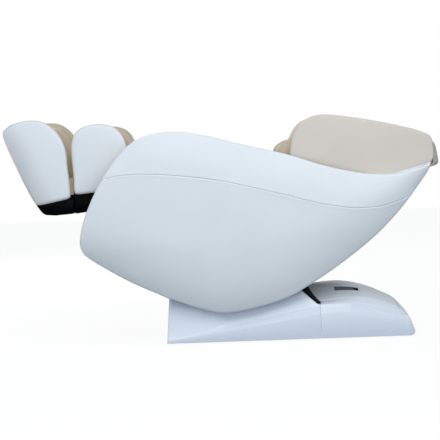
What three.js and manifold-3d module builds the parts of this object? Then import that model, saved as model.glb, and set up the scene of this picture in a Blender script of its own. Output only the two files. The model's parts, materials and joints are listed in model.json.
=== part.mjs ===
// Massage chair: one pod of seat, arms and back that tilts as a cradle on curved rails over a low
// base, with a legrest that folds at the knee and a foot section that slides out of it.
// Millimetres. +X runs to the head end, +Z is up, and the chair is even about Y = 0 but for the
// power tray in the deck. The sitter faces -X, so the sitter's left side is at -Y.
import * as THREE from 'three';
import { mergeVertices } from 'three/addons/utils/BufferGeometryUtils.js';
import Module from 'manifold-3d';

const wasm = await Module();
wasm.setup();

// ---- Driving dimensions ----
const POD_HALF_WIDTH = 375; // outer face of a side shell
const LEG_HALF_WIDTH = 238; // outer face of the calf and foot panels
const BASE_HALF_WIDTH = 288; // skirt of the base covers
const SHELL_WALL = 8;
const COVER_WALL = 4;
const GAP = 0.35; // between pieces that touch

// The pod rocks about a virtual centre above the seat, and all its rails are arcs about it.
const CRADLE = { x: 5, z: 743 };
const SHELL_ARC = 608; // underside of the side shells
const TROUGH_ARC = 615; // top edge of the front base cover
const RAIL_INNER = 561.6; // C-section rail
const RAIL_OUTER = 611.5;
const RAIL_FLANGE = 4;
const ROLLER_RADIUS = 20;
const ROLLER_ARC = RAIL_INNER + RAIL_FLANGE + ROLLER_RADIUS + 0.3;
const ROLLER_ANGLE = 18; // degrees before and behind the lowest point

// Sector gear on the pod and pinion on the motor.
const GEAR_MODULE = 4;
const SECTOR_TEETH = 295; // of the full circle
const PINION_TEETH = 16;
const SECTOR_RADIUS = (GEAR_MODULE * SECTOR_TEETH) / 2;
const PINION_RADIUS = (GEAR_MODULE * PINION_TEETH) / 2;
const PINION_Z = CRADLE.z - SECTOR_RADIUS - PINION_RADIUS;

// The back's massage track is an arc about a centre far above the sitter's legs.
const TRACK = { x: -475, z: 2426 };
const TRACK_ARC = 2200; // middle of the guide rails
const CUSHION_FRONT_ARC = 2080;
const CUSHION_BACK_ARC = 2125;
const ROLLER_TRACK_ARC = 2166; // massage rollers
const CARRIAGE_ANGLE = 22; // rest place of the carriage along the track, degrees

const KNEE = { x: -440, z: 585 }; // legrest pivot
const LEG_TILT = 5; // degrees that the foot section's slide runs down towards the feet

const DEG = Math.PI / 180;
const mix = (a, b, t) => a + (b - a) * t;
const clamp01 = (t) => Math.min(1, Math.max(0, t));

// A point at a radius and angle about the cradle's centre: the angle grows towards the front.
const onCradle = (radius, degrees) => [
  CRADLE.x - radius * Math.sin(degrees * DEG),
  CRADLE.z - radius * Math.cos(degrees * DEG),
];
// A point on the back's arcs: the angle grows towards the head.
const onTrack = (radius, degrees) => [
  TRACK.x + radius * Math.sin(degrees * DEG),
  TRACK.z - radius * Math.cos(degrees * DEG),
];

// ---- Materials ----
const finish = (color, roughness, metalness = 0) =>
  new THREE.MeshStandardMaterial({ color, roughness, metalness });
const WHITE_LEATHER = finish('#dfe5ea', 0.5);
const TAUPE_LEATHER = finish('#cbc5bd', 0.5);
const BEIGE_LEATHER = finish('#bfb09a', 0.55);
const DARK_LEATHER = finish('#8a7f72', 0.6);
const BASE_PLASTIC = finish('#d3dbe6', 0.25);
const BLACK_PLASTIC = finish('#0c0d10', 0.18);
const DARK_PLASTIC = finish('#303c48', 0.35);
const BLACK_RUBBER = finish('#1b1c1e', 0.8);
const STEEL = finish('#3b3e42', 0.5, 0.6);
const BRIGHT_STEEL = finish('#b9bcc0', 0.3, 0.9);
const ROLLER_PLASTIC = finish('#2f3236', 0.4);
const CAST_ALUMINIUM = finish('#9a9da1', 0.5, 0.8);

// ---- Making solids ----
function solid(geometry) {
  const bare = geometry.index ? geometry.toNonIndexed() : geometry.clone();
  bare.deleteAttribute('normal');
  bare.deleteAttribute('uv');
  const merged = mergeVertices(bare, 1e-4);
  return new wasm.Manifold(
    new wasm.Mesh({
      numProp: 3,
      vertProperties: new Float32Array(merged.attributes.position.array),
      triVerts: new Uint32Array(merged.index.array),
    }),
  );
}

function geometryOf(body) {
  const mesh = body.getMesh();
  const geometry = new THREE.BufferGeometry();
  geometry.setAttribute('position', new THREE.BufferAttribute(mesh.vertProperties, 3));
  geometry.setIndex(new THREE.BufferAttribute(mesh.triVerts, 1));
  return geometry;
}

const joined = (...bodies) => bodies.flat().reduce((all, body) => all.add(body));
const cut = (body, ...tools) => tools.flat().reduce((rest, tool) => rest.subtract(tool), body);

// A closed skin over a row of rings with equal counts of points. The ends are triangulated flat.
function skin(rings) {
  const count = rings[0].length;
  const points = rings.flat();
  const faces = [];
  for (let r = 0; r + 1 < rings.length; r += 1) {
    for (let i = 0; i < count; i += 1) {
      const a = r * count + i;
      const b = r * count + ((i + 1) % count);
      faces.push([a, b, b + count], [a, b + count, a + count]);
    }
  }
  const closeEnd = (ring, first, follow) => {
    const normal = new THREE.Vector3();
    ring.forEach((p, i) => normal.add(p.clone().cross(ring[(i + 1) % count])));
    const [u, v] = ['x', 'y', 'z']
      .sort((m, n) => Math.abs(normal[m]) - Math.abs(normal[n]))
      .slice(0, 2);
    const flat = ring.map((p) => new THREE.Vector2(p[u], p[v]));
    const turn = Math.sign(THREE.ShapeUtils.area(flat));
    const triangles = THREE.ShapeUtils.triangulateShape(flat, []);
    if (triangles.length === count - 2) {
      triangles.forEach(([a, b, c]) => {
        const same = Math.sign(THREE.ShapeUtils.area([flat[a], flat[b], flat[c]])) === turn;
        faces.push(same === follow ? [first + a, first + b, first + c] : [first + a, first + c, first + b]);
      });
      return;
    }
    // Points in one line are left out above, so such an end is closed by a fan about its middle.
    const hub = points.push(ring.reduce((sum, p) => sum.add(p), new THREE.Vector3()).divideScalar(count)) - 1;
    ring.forEach((_, i) => {
      const [a, b] = [first + i, first + ((i + 1) % count)];
      faces.push(follow ? [a, b, hub] : [b, a, hub]);
    });
  };
  closeEnd(rings[0], 0, false);
  closeEnd(rings[rings.length - 1], (rings.length - 1) * count, true);
  const volume = faces.reduce((sum, [a, b, c]) => {
    return sum + points[a].dot(points[b].clone().cross(points[c]));
  }, 0);
  const geometry = new THREE.BufferGeometry();
  geometry.setAttribute(
    'position',
    new THREE.Float32BufferAttribute(points.flatMap((p) => [p.x, p.y, p.z]), 3),
  );
  geometry.setIndex(faces.flatMap(([a, b, c]) => (volume > 0 ? [a, b, c] : [a, c, b])));
  return geometry;
}

const toShape = (points) => new THREE.Shape(points.map(([x, z]) => new THREE.Vector2(x, z)));

// A plate cut from an outline in the XZ plane, between two values of y.
function plate(shape, y0, y1, curveSegments = 8) {
  const outline = Array.isArray(shape) ? toShape(shape) : shape;
  return new THREE.ExtrudeGeometry(outline, { depth: y1 - y0, bevelEnabled: false, curveSegments })
    .rotateX(Math.PI / 2)
    .translate(0, y1, 0);
}

const bar = (x0, x1, y0, y1, z0, z1) =>
  new THREE.BoxGeometry(x1 - x0, y1 - y0, z1 - z0).translate(
    (x0 + x1) / 2,
    (y0 + y1) / 2,
    (z0 + z1) / 2,
  );

// A round bar across the chair.
const crossBar = ([x, z], radius, y0, y1, sides = 20) =>
  new THREE.CylinderGeometry(radius, radius, y1 - y0, sides).translate(x, (y0 + y1) / 2, z);

// Points of a band between two radii, for onCradle or onTrack.
function band(place, inner, outer, from, to, steps) {
  const along = (radius, a, b) =>
    Array.from({ length: steps + 1 }, (_, i) => place(radius, mix(a, b, i / steps)));
  return [...along(inner, from, to), ...along(outer, to, from)];
}

// A bar of one section, given as [radius, y] points, bent along an arc of the pod or the track.
function bentBar(place, section, from, to, steps) {
  return skin(Array.from({ length: steps + 1 }, (_, k) => section.map(([radius, y]) => {
    const [x, z] = place(radius, mix(from, to, k / steps));
    return new THREE.Vector3(x, y, z);
  })));
}

// A C-section between two radii: its web is at yWeb, and it opens towards yOpen.
function channelSection(inner, outer, yWeb, yOpen, thickness) {
  const yInside = yWeb + Math.sign(yOpen - yWeb) * thickness;
  return [
    [inner, yOpen],
    [inner, yWeb],
    [outer, yWeb],
    [outer, yOpen],
    [outer - thickness, yOpen],
    [outer - thickness, yInside],
    [inner + thickness, yInside],
    [inner + thickness, yOpen],
  ];
}

// Turns a geometry that was drawn at the pod's or track's lowest point about an axis across it.
function turned(geometry, centre, degrees) {
  return geometry
    .translate(-centre.x, 0, -centre.z)
    .rotateY(-degrees * DEG)
    .translate(centre.x, 0, centre.z);
}

// A closed outline as a list of points at even spacing along splines and arcs.
function evenPoints(path, count) {
  return path.getSpacedPoints(count).slice(0, count);
}

const splinePath = (start, points) => {
  const path = new THREE.Path();
  path.moveTo(...start);
  path.splineThru([...points, start].map(([x, z]) => new THREE.Vector2(x, z)));
  return path;
};

// A pad whose flat outline stands in the XZ plane. Its two faces are crowned, and its edge is round.
function pillow(outline, centre, yInner, yOuter, edge) {
  const middle = (yInner + yOuter) / 2;
  const half = (yOuter - yInner) / 2;
  const fractions = [0.55, 0.12, 0.02, 0];
  const ring = (fraction, sign) => {
    const rise = Math.sqrt(1 - (1 - clamp01(fraction / edge)) ** 2);
    const swell = 1 - (1 - fraction) ** 2;
    return outline.map((p) => {
      const x = mix(p.x, centre[0], fraction);
      const z = mix(p.y, centre[1], fraction);
      return new THREE.Vector3(x, middle + sign * half * mix(rise, rise * 0.86 + 0.14 * swell, 0.6), z);
    });
  };
  const inner = fractions.map((f) => ring(f, -1));
  const outer = fractions.slice(0, -1).map((f) => ring(f, 1));
  return skin([...inner, ...outer.reverse()]);
}

// ---- Building the scene graph ----
const massageChair = new THREE.Group();
const pod = new THREE.Group();
const base = new THREE.Group();
const carriage = new THREE.Group();
const legrest = new THREE.Group();
const footrest = new THREE.Group();
massageChair.add(base, pod);
pod.add(carriage, legrest);
legrest.add(footrest);

function add(group, name, shape, material) {
  const geometry = shape.isBufferGeometry ? shape : geometryOf(shape);
  const mesh = new THREE.Mesh(geometry, material);
  mesh.name = name;
  group.add(mesh);
}

// Adds the same piece on the left (-Y) and, mirrored, on the right (+Y).
function addPair(group, name, makeSide, material) {
  [['left', -1], ['right', 1]].forEach(([word, side]) => {
    const shape = makeSide(side);
    add(group, name.replace('SIDE', word), shape, material);
  });
}

// Mirrors a left-hand geometry to the right when side is 1, and keeps it closed and outward.
function mirrored(geometry, side) {
  if (side < 0) return geometry;
  const body = geometry.isBufferGeometry ? solid(geometry) : geometry;
  return body.mirror([0, 1, 0]);
}

// ================= Base =================

const SIDE_PLATE = { y0: 191, y1: 196 };
const FRAME_X0 = -236;
const FRAME_X1 = 704;
const WHEEL = { x: 690, z: 28, radius: 24 };
const FEET = [[-210, 232], [-210, -232], [600, 232], [600, -232]];

function sidePlateOutline() {
  const ear = (degrees) => {
    const [x, z] = onCradle(ROLLER_ARC, degrees);
    return [[x - 24, z - 40], [x - 17, z + 14], [x, z + 20], [x + 17, z + 14], [x + 24, z - 40]];
  };
  return [
    [FRAME_X0, 14.3],
    [FRAME_X0, 96],
    ...ear(ROLLER_ANGLE),
    ...band(onCradle, 640, 640, 11, -11, 6).slice(0, 7),
    ...ear(-ROLLER_ANGLE),
    [330, 110],
    [360, 58],
    [FRAME_X1, 48],
    [FRAME_X1, 20],
    [620, 14.3],
  ];
}

function baseFrame() {
  const { y0, y1 } = SIDE_PLATE;
  const pieces = [];
  [-1, 1].forEach((side) => {
    const [a, b] = side < 0 ? [-y1, -y0] : [y0, y1];
    pieces.push(solid(plate(sidePlateOutline(), a, b)));
    // Foot tabs and the bottom flange, folded outwards.
    const [f0, f1] = side < 0 ? [-258, -y0] : [y0, 258];
    FEET.filter(([, y]) => y * side > 0).forEach(([x]) => {
      pieces.push(solid(bar(x - 28, x + 28, f0, f1, 14.3, 19)));
    });
    // Pins for the cradle rollers point inwards, and the wheel pins outwards.
    [ROLLER_ANGLE, -ROLLER_ANGLE].forEach((degrees) => {
      const pinEnds = side < 0 ? [-y0 - 1, -165.6] : [165.6, y0 + 1];
      pieces.push(solid(crossBar(onCradle(ROLLER_ARC, degrees), 6, ...pinEnds, 12)));
    });
    const wheelPin = side < 0 ? [-222, -y0] : [y0, 222];
    pieces.push(solid(crossBar([WHEEL.x, WHEEL.z], 6, ...wheelPin, 12)));
  });
  // Cross members: a front and a rear channel, a motor shelf and a rear tray.
  pieces.push(solid(bar(FRAME_X0, FRAME_X0 + 5, -y0, y0, 14.3, 92)));
  pieces.push(solid(bar(FRAME_X0, FRAME_X0 + 40, -y0, y0, 14.3, 18)));
  pieces.push(solid(bar(-80, 120, -y0, y0, 24, 29)));
  pieces.push(solid(bar(340, 345, -y0, y0, 20, 56)));
  pieces.push(solid(bar(340, 640, -y0, y0, 20, 24)));
  pieces.push(solid(bar(FRAME_X1 - 5, FRAME_X1, -y0, y0, 20, 48)));
  return joined(pieces);
}

// The front cover: skirt, crease that climbs to the rear, and flanks that lean in to the trough.
const frontCrease = (x) => mix(17, 106.6, clamp01((x + 262) / 625) ** 1.05);

function frontSection(x, inset, zBottom) {
  const crease = frontCrease(x);
  const top = 230;
  const half = BASE_HALF_WIDTH - inset;
  const flankFoot = half - 3;
  const flankTop = BASE_HALF_WIDTH - 3 - 0.42 * (top - crease) - inset * 1.1;
  const side = [[half, zBottom], [half, crease - 5], [half - 0.8, crease - 1.5], [flankFoot, crease]];
  side.push([flankTop, top]);
  return [...side, ...side.map(([y, z]) => [-y, z]).reverse()];
}

function frontLoft(inset, zBottom, xEnd) {
  const stations = [-262 + inset, -258 + inset, -247 + inset, -120, 20, 170, 290, xEnd];
  const cornerInset = [14, 5, 0, 0, 0, 0, 0, 0];
  return skin(
    stations.map((x, i) =>
      frontSection(x, inset + cornerInset[i], zBottom).map(([y, z]) => {
        const lean = i < 3 ? (16 * z) / 175 : 0;
        return new THREE.Vector3(x + lean, y, z);
      }),
    ),
  );
}

// The slanted rear end of the front cover, with the black wedge gap behind it.
const WEDGE_FRONT = [[363, -10], [363, 107], [352, 136], [290, 191], [276, 300]];
const WEDGE_REAR = [[363.6, -10], [363.6, 107.5], [366, 142], [331, 184.5], [322, 300]];

function frontBaseCover() {
  const outer = solid(frontLoft(0, 5, 380));
  const inner = solid(frontLoft(COVER_WALL, -5, 420));
  const trough = solid(crossBar([CRADLE.x, CRADLE.z], TROUGH_ARC, -300, 300, 120));
  const behind = solid(plate([...WEDGE_FRONT, [500, 300], [500, -10]], -320, 320));
  return cut(outer, inner, trough, behind);
}

// The rear cover: skirt, bright bevel and a crowned top that falls to the rear.
const REAR_STATIONS = [
  // x, crease, bevel top, deck seam, crown on the middle line
  [330, 104, 138, 145, 192],
  [363, 106.6, 140, 147, 198],
  [405, 109, 141, 151, 202],
  [455, 111.5, 141, 156, 203],
  [505, 112.5, 139, 160, 197],
  [550, 110, 132, 158, 185],
  [600, 102, 121, 146, 168],
  [650, 91, 106, 128, 143],
  [690, 87, 95, 109, 119],
  [717, 86, 86.6, 87, 87.5],
  [733, 50, 51, 52, 53],
  [744, 20, 20.5, 21, 21.5],
];
const DECK_HALF = 225;

function rearSection([x, crease, bevel, seam, crown], inset, zBottom, bulge) {
  const half = BASE_HALF_WIDTH - inset;
  const lower = (z) => Math.max(zBottom + 1, z - inset * 1.05);
  const side = [
    [half, zBottom],
    [half, lower(crease - 2)],
    [half - 4, lower(crease + 1)],
    [half - 24, lower(bevel)],
    [half - 34, lower(mix(bevel, seam, 0.4))],
    [DECK_HALF, lower(seam)],
  ];
  [180, 120, 45].forEach((y) => {
    side.push([y, lower(mix(crown, seam, (y / DECK_HALF) ** 2))]);
  });
  const ring = [...side, ...side.map(([y, z]) => [-y, z]).reverse()];
  return ring.map(([y, z]) => new THREE.Vector3(x + bulge * (1 - (y / half) ** 2), y, z));
}

function rearLoft(inset, zBottom) {
  const last = REAR_STATIONS.length - 1;
  const rings = REAR_STATIONS.map((station, i) => {
    const bulge = 12 * clamp01((i - 6) / (last - 6));
    const narrow = 9 * clamp01((i - last + 2) / 2);
    const [x, ...heights] = station;
    const back = i > 8 ? inset : 0;
    return rearSection([x - back, ...heights], inset, zBottom, bulge).map((p) => {
      return p.setY(p.y * (1 - narrow / BASE_HALF_WIDTH));
    });
  });
  return skin(rings);
}

const DECK_REAR = 688;
const deckPrism = (margin) =>
  solid(plate([[200, 90], [200, 320], [DECK_REAR - margin, 320], [DECK_REAR - margin, 90]],
    -DECK_HALF + margin, DECK_HALF - margin));
const wedgeKeep = () => solid(plate([...WEDGE_REAR, [900, 300], [900, -10]], -320, 320));

function rearBaseCover() {
  const outer = solid(rearLoft(0, 5));
  const inner = solid(rearLoft(COVER_WALL, -8));
  const openFront = solid(bar(300, 366, -284, 284, -10, 100));
  return cut(outer.intersect(wedgeKeep()), inner, openFront, deckPrism(0));
}

const WINDOW = { x0: 432, x1: 532, y0: -150, y1: -95 };

function deckPanel() {
  const outer = solid(rearLoft(0.2, -8));
  const inner = solid(rearLoft(COVER_WALL, -8));
  const { x0, x1, y0, y1 } = WINDOW;
  const window = solid(bar(x0, x1, y0, y1, 120, 260));
  const panel = outer.intersect(deckPrism(0.5)).intersect(wedgeKeep());
  return cut(panel, inner, window);
}

// A black strip that fills the wedge gap below the deck's front edge.
function deckSeal() {
  const outline = [[296, 180], [350, 131], [361, 106], [361, 122], [362, 138], [325, 178], [322, 186]];
  return plate(outline, -222, 222);
}

// The dark tray under the deck's window, with a hole for the rocker and one for the inlet.
const TRAY_FLOOR = 152;
const ROCKER = { x: 460, y: -122.5, z: TRAY_FLOOR + 2 };
const INLET = { x: 508, y: -122.5 };

function switchTray() {
  const { x0, x1, y0, y1 } = WINDOW;
  const outside = solid(bar(x0 - 5, x1 + 5, y0 - 5, y1 + 5, TRAY_FLOOR - 3, 230));
  const pocket = solid(bar(x0 - 1.5, x1 + 1.5, y0 - 1.5, y1 + 1.5, TRAY_FLOOR, 260));
  const below = solid(rearLoft(COVER_WALL + 0.5, -8));
  const rockerHole = solid(bar(ROCKER.x - 15, ROCKER.x + 15, ROCKER.y - 9.5, ROCKER.y + 9.5, 100, 160));
  const inletHole = solid(bar(INLET.x - 14, INLET.x + 14, INLET.y - 10, INLET.y + 10, 100, 160));
  return cut(outside.intersect(below), pocket, rockerHole, inletHole);
}

function powerRocker() {
  const outline = [[-13, 4.6], [-1, 3], [1, 3], [13, 5.6], [12, -7], [-12, -7]];
  return plate(outline.map(([x, z]) => [ROCKER.x + x, ROCKER.z + z]), ROCKER.y - 8, ROCKER.y + 8);
}

// The inlet's cup hangs below the tray floor, with three blades standing on its bottom.
function powerInlet() {
  const { x, y } = INLET;
  const top = TRAY_FLOOR - 3 - GAP;
  const flange = solid(bar(x - 20, x + 20, y - 14, y + 14, top - 3, top));
  const neck = solid(bar(x - 13.6, x + 13.6, y - 9.6, y + 9.6, top - 20, TRAY_FLOOR + 1.5));
  const cup = solid(bar(x - 11, x + 11, y - 7.5, y + 7.5, top - 16, TRAY_FLOOR + 5));
  const blades = [-6, 0, 6].map((dx) => solid(bar(x + dx - 1, x + dx + 1, y - 2, y + 2, top - 17, top - 8)));
  return joined(cut(joined(flange, neck), cup), blades);
}

// Involute tooth flanks from root to tip, as [radius, half angle] pairs.
function toothFlank(teeth, tip, root, steps = 3) {
  const pitch = (GEAR_MODULE * teeth) / 2;
  const baseCircle = pitch * Math.cos(20 * DEG);
  const involute = (r) => {
    const a = Math.acos(Math.min(1, baseCircle / Math.max(r, baseCircle)));
    return Math.tan(a) - a;
  };
  const backlash = 0.25;
  const halfAtPitch = Math.PI / (2 * teeth) - backlash / (2 * pitch);
  return Array.from({ length: steps + 1 }, (_, i) => {
    const r = mix(root, tip, i / steps);
    return [r, halfAtPitch + involute(pitch) - involute(r)];
  });
}

function sectorRack() {
  const flank = toothFlank(SECTOR_TEETH, SECTOR_RADIUS + 3.4, SECTOR_RADIUS - 5, 1);
  const pitchAngle = 360 / SECTOR_TEETH;
  const first = -3;
  const last = 26;
  const points = [];
  for (let k = first; k <= last; k += 1) {
    flank.forEach(([r, half]) => points.push(onCradle(r, k * pitchAngle - half / DEG)));
    [...flank].reverse().forEach(([r, half]) => points.push(onCradle(r, k * pitchAngle + half / DEG)));
  }
  const inner = Array.from({ length: 9 }, (_, i) =>
    onCradle(RAIL_INNER, mix(last + 0.6, first - 0.6, i / 8) * pitchAngle));
  const holes = [3, 12, 21].map((k) => {
    const hole = new THREE.Path();
    const [x, z] = onCradle(573, k * pitchAngle);
    hole.absarc(x, z, 4.5, 0, Math.PI * 2);
    return hole;
  });
  const shape = toShape([...points, ...inner]);
  shape.holes.push(...holes);
  return plate(shape, -10, 10, 4);
}

function tiltPinion() {
  const flank = toothFlank(PINION_TEETH, PINION_RADIUS + 4, PINION_RADIUS - 5, 2);
  const points = [];
  for (let k = 0; k < PINION_TEETH; k += 1) {
    const middle = 90 * DEG - ((k + 0.5) * Math.PI * 2) / PINION_TEETH;
    const place = (r, a) => [CRADLE.x + r * Math.cos(a), PINION_Z + r * Math.sin(a)];
    flank.forEach(([r, half]) => points.push(place(r, middle + half)));
    [...flank].reverse().forEach(([r, half]) => points.push(place(r, middle - half)));
  }
  const gear = solid(plate(points, -12, 12));
  const hub = solid(crossBar([CRADLE.x, PINION_Z], 17, -16, 15, 12));
  const shaft = solid(crossBar([CRADLE.x, PINION_Z], 8, -18, 46, 12));
  return joined(gear, hub, shaft);
}

// Worm gear motor: a gear case round the pinion's shaft and a finned motor lying across the base.
function tiltGearMotor() {
  const { x } = CRADLE;
  const z = PINION_Z;
  const gearCase = solid(bar(x - 44, x + 44, 18, 64, 29.4, z + 24));
  const motor = solid(
    new THREE.CylinderGeometry(33, 33, 118, 16).rotateZ(Math.PI / 2).translate(x - 98, 41, z - 40));
  const fins = [78, 100, 122].map((back) =>
    solid(new THREE.CylinderGeometry(37, 37, 6, 16).rotateZ(Math.PI / 2).translate(x - back, 41, z - 40)));
  const feet = solid(bar(x - 60, x + 60, 14, 70, 29.4, 35));
  const bore = solid(crossBar([x, z], 8.5, 10, 50, 16));
  return cut(joined(gearCase, motor, fins, feet), bore);
}

function rubberFoot([x, y]) {
  const profile = [[0, 0], [19, 0], [22, 3], [22, 9], [15, 14], [0, 14]];
  return new THREE.LatheGeometry(profile.map(([r, z]) => new THREE.Vector2(r, z)), 12)
    .rotateX(Math.PI / 2)
    .translate(x, y, 0);
}

// A ring of an axial profile about an axis across the chair, mirrored end for end.
function wheelRing([x, z], yMiddle, halfWidth, radius, bore, sides, shoulder) {
  const rim = shoulder > 0
    ? [[radius - shoulder, -halfWidth], [radius, shoulder - halfWidth],
      [radius, halfWidth - shoulder], [radius - shoulder, halfWidth]]
    : [[radius, -halfWidth], [radius, halfWidth]];
  const profile = [[bore, -halfWidth], ...rim, [bore, halfWidth], [bore, -halfWidth]];
  return new THREE.LatheGeometry(profile.map(([r, y]) => new THREE.Vector2(r, y)), sides)
    .translate(x, yMiddle, z);
}

function controlBox() {
  const body = solid(bar(380, 560, 10, 170, 24.4, 96));
  const lid = solid(bar(376, 564, 6, 174, 88, 93));
  const ribs = [0, 1, 2, 3, 4, 5].map((i) => solid(bar(400 + i * 26, 404 + i * 26, 20, 160, 95, 102)));
  return joined(body, lid, ribs);
}

function airPump() {
  const body = solid(bar(390, 520, -178, -40, 24.4, 84));
  const heads = [[425, -75], [425, -143], [485, -75], [485, -143]].map(([x, y]) =>
    solid(new THREE.CylinderGeometry(22, 24, 26, 12).rotateX(Math.PI / 2).translate(x, y, 95)));
  const nozzle = solid(new THREE.CylinderGeometry(7, 7, 26, 8).rotateZ(Math.PI / 2).translate(530, -109, 60));
  return joined(body, heads, nozzle);
}

add(base, 'base_frame', baseFrame(), STEEL);
add(base, 'front_base_cover', frontBaseCover(), BASE_PLASTIC);
add(base, 'rear_base_cover', rearBaseCover(), BASE_PLASTIC);
add(base, 'deck_panel', deckPanel(), BASE_PLASTIC);
add(base, 'deck_seal', deckSeal(), BLACK_RUBBER);
add(base, 'switch_tray', switchTray(), DARK_PLASTIC);
add(base, 'power_rocker', powerRocker(), BLACK_PLASTIC);
add(base, 'power_inlet', powerInlet(), BLACK_PLASTIC);
add(base, 'tilt_gear_motor', tiltGearMotor(), CAST_ALUMINIUM);
add(base, 'tilt_pinion', tiltPinion(), BRIGHT_STEEL);
add(base, 'control_box', controlBox(), DARK_PLASTIC);
add(base, 'air_pump', airPump(), DARK_PLASTIC);
['front_right', 'front_left', 'rear_right', 'rear_left'].forEach((word, i) => {
  add(base, `${word}_foot`, rubberFoot(FEET[i]), BLACK_RUBBER);
});
addPair(base, 'SIDE_transport_wheel', (side) =>
  wheelRing([WHEEL.x, WHEEL.z], side * 208, 9, WHEEL.radius, 6.4, 18, 3), BLACK_RUBBER);
[['front', ROLLER_ANGLE], ['rear', -ROLLER_ANGLE]].forEach(([word, degrees]) => {
  addPair(base, `SIDE_${word}_cradle_roller`, (side) =>
    wheelRing(onCradle(ROLLER_ARC, degrees), side * 177, 9, ROLLER_RADIUS, 6.4, 18, 0), ROLLER_PLASTIC);
});

// ================= Pod =================

// Outline of the side shells: a spline over the arm and down the front, an arc about the cradle's
// centre below, and a spline up the back to the sharp head tip.
const HEAD_TIP = [820, 701];
const ARM_EDGE = [
  [776, 683], [712, 667], [648, 660], [541, 669], [392, 704], [244, 755], [52, 805], [-82, 842],
  [-203, 860], [-325, 844], [-409, 788], [-494, 678], [-557, 555], [-588, 460], [-589, 402],
  [-550, 357], [-411, 270],
];
const BACK_EDGE = [[420, 287], [574, 401], [677, 500], [753, 592], [806, 664], HEAD_TIP];
const SHELL_CENTRE = [60, 500];

function podOutline(count) {
  const vectors = (points) => points.map(([x, z]) => new THREE.Vector2(x, z));
  const path = new THREE.Path();
  path.moveTo(...HEAD_TIP);
  path.splineThru(vectors([...ARM_EDGE, onCradle(SHELL_ARC, 29)]));
  path.absarc(CRADLE.x, CRADLE.z, SHELL_ARC, -119 * DEG, -64 * DEG, false);
  path.splineThru(vectors(BACK_EDGE));
  return evenPoints(path, count);
}

// A side shell is a pan: its outer face is domed, more so round the bottom than along the top.
function sideShell(side) {
  const count = 38;
  const outline = podOutline(count);
  const reach = outline.map((p) => Math.hypot(p.x - SHELL_CENTRE[0], p.y - SHELL_CENTRE[1]));
  const under = outline.map((p, i) => {
    const before = outline[(i + count - 1) % count];
    const after = outline[(i + 1) % count];
    const up = (before.x - after.x) / Math.hypot(after.x - before.x, after.y - before.y);
    return clamp01((0.35 - up) / 1.2);
  });
  const rings = [];
  const addRing = (fraction, inset, height) => {
    rings.push(outline.map((p, i) => {
      const part = fraction + ((1 - fraction) * inset) / reach[i];
      const x = mix(p.x, SHELL_CENTRE[0], part);
      const z = mix(p.y, SHELL_CENTRE[1], part);
      return new THREE.Vector3(x, side * height(i), z);
    }));
  };
  const face = (fraction) => (i) => {
    const edge = mix(352, 292, under[i]);
    const blend = mix(110, 330, under[i]);
    const s = clamp01((fraction * reach[i]) / blend);
    return mix(edge, POD_HALF_WIDTH, Math.sqrt(1 - (1 - s) ** 2));
  };
  const rim = (i) => mix(297, 252, under[i]);
  [0.85, 0.4, 0.18, 0.06, 0.012, 0].forEach((f) => addRing(f, 0, face(f)));
  addRing(0, 0, rim);
  addRing(0, SHELL_WALL, rim);
  [0, 0.3, 0.85].forEach((f) => addRing(f, SHELL_WALL, (i) => face(f)(i) - SHELL_WALL));
  return skin(rings);
}

// The padded inside of an arm. It shows as a thin line along the shell's top edge.
function armPad(side) {
  const path = splinePath([228, 765], [
    [52, 809], [-82, 846], [-203, 864], [-325, 848], [-405, 793], [-484, 678], [-538, 560],
    [-556, 470], [-520, 405], [-380, 335], [-160, 285], [60, 275], [300, 325], [520, 455], [690, 600],
    [752, 655], [690, 632], [560, 622], [420, 650], [300, 692], [238, 722], [230, 745],
  ]);
  const outline = new THREE.Shape(evenPoints(path, 38));
  const bevel = 10;
  const geometry = new THREE.ExtrudeGeometry(outline, {
    depth: 294 - 247 - 2 * bevel,
    bevelEnabled: true,
    bevelThickness: bevel,
    bevelSize: bevel,
    bevelOffset: -bevel,
    bevelSegments: 1,
  });
  return geometry.rotateX(Math.PI / 2).translate(0, side < 0 ? -247 - bevel : 294 - bevel, 0);
}

// Head wings stand inside the shells beside the head.
function headWing(side) {
  const path = splinePath([248, 740], [
    [253, 780], [268, 826], [298, 875], [345, 903], [425, 906], [576, 881], [726, 846], [800, 822],
    [830, 803], [838, 765], [836, 712], [812, 692], [760, 664], [650, 640], [540, 650], [392, 684],
    [300, 712], [262, 724],
  ]);
  const outline = evenPoints(path, 28);
  const shape = pillow(outline, [545, 770], 249, 285, 0.12);
  return side < 0 ? mirrored(shape, 1) : shape;
}

// Air-bag pads that hold the shoulders, at the front lower corner of the wings.
function shoulderPad(side) {
  const path = splinePath([199, 765], [
    [208, 790], [234, 812], [272, 822], [318, 806], [338, 760], [330, 690], [318, 610], [300, 560],
    [262, 548], [224, 575], [206, 640], [198, 710],
  ]);
  const outline = evenPoints(path, 18);
  const shape = pillow(outline, [268, 690], 178, 241, 0.3);
  return side < 0 ? mirrored(shape, 1) : shape;
}

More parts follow.
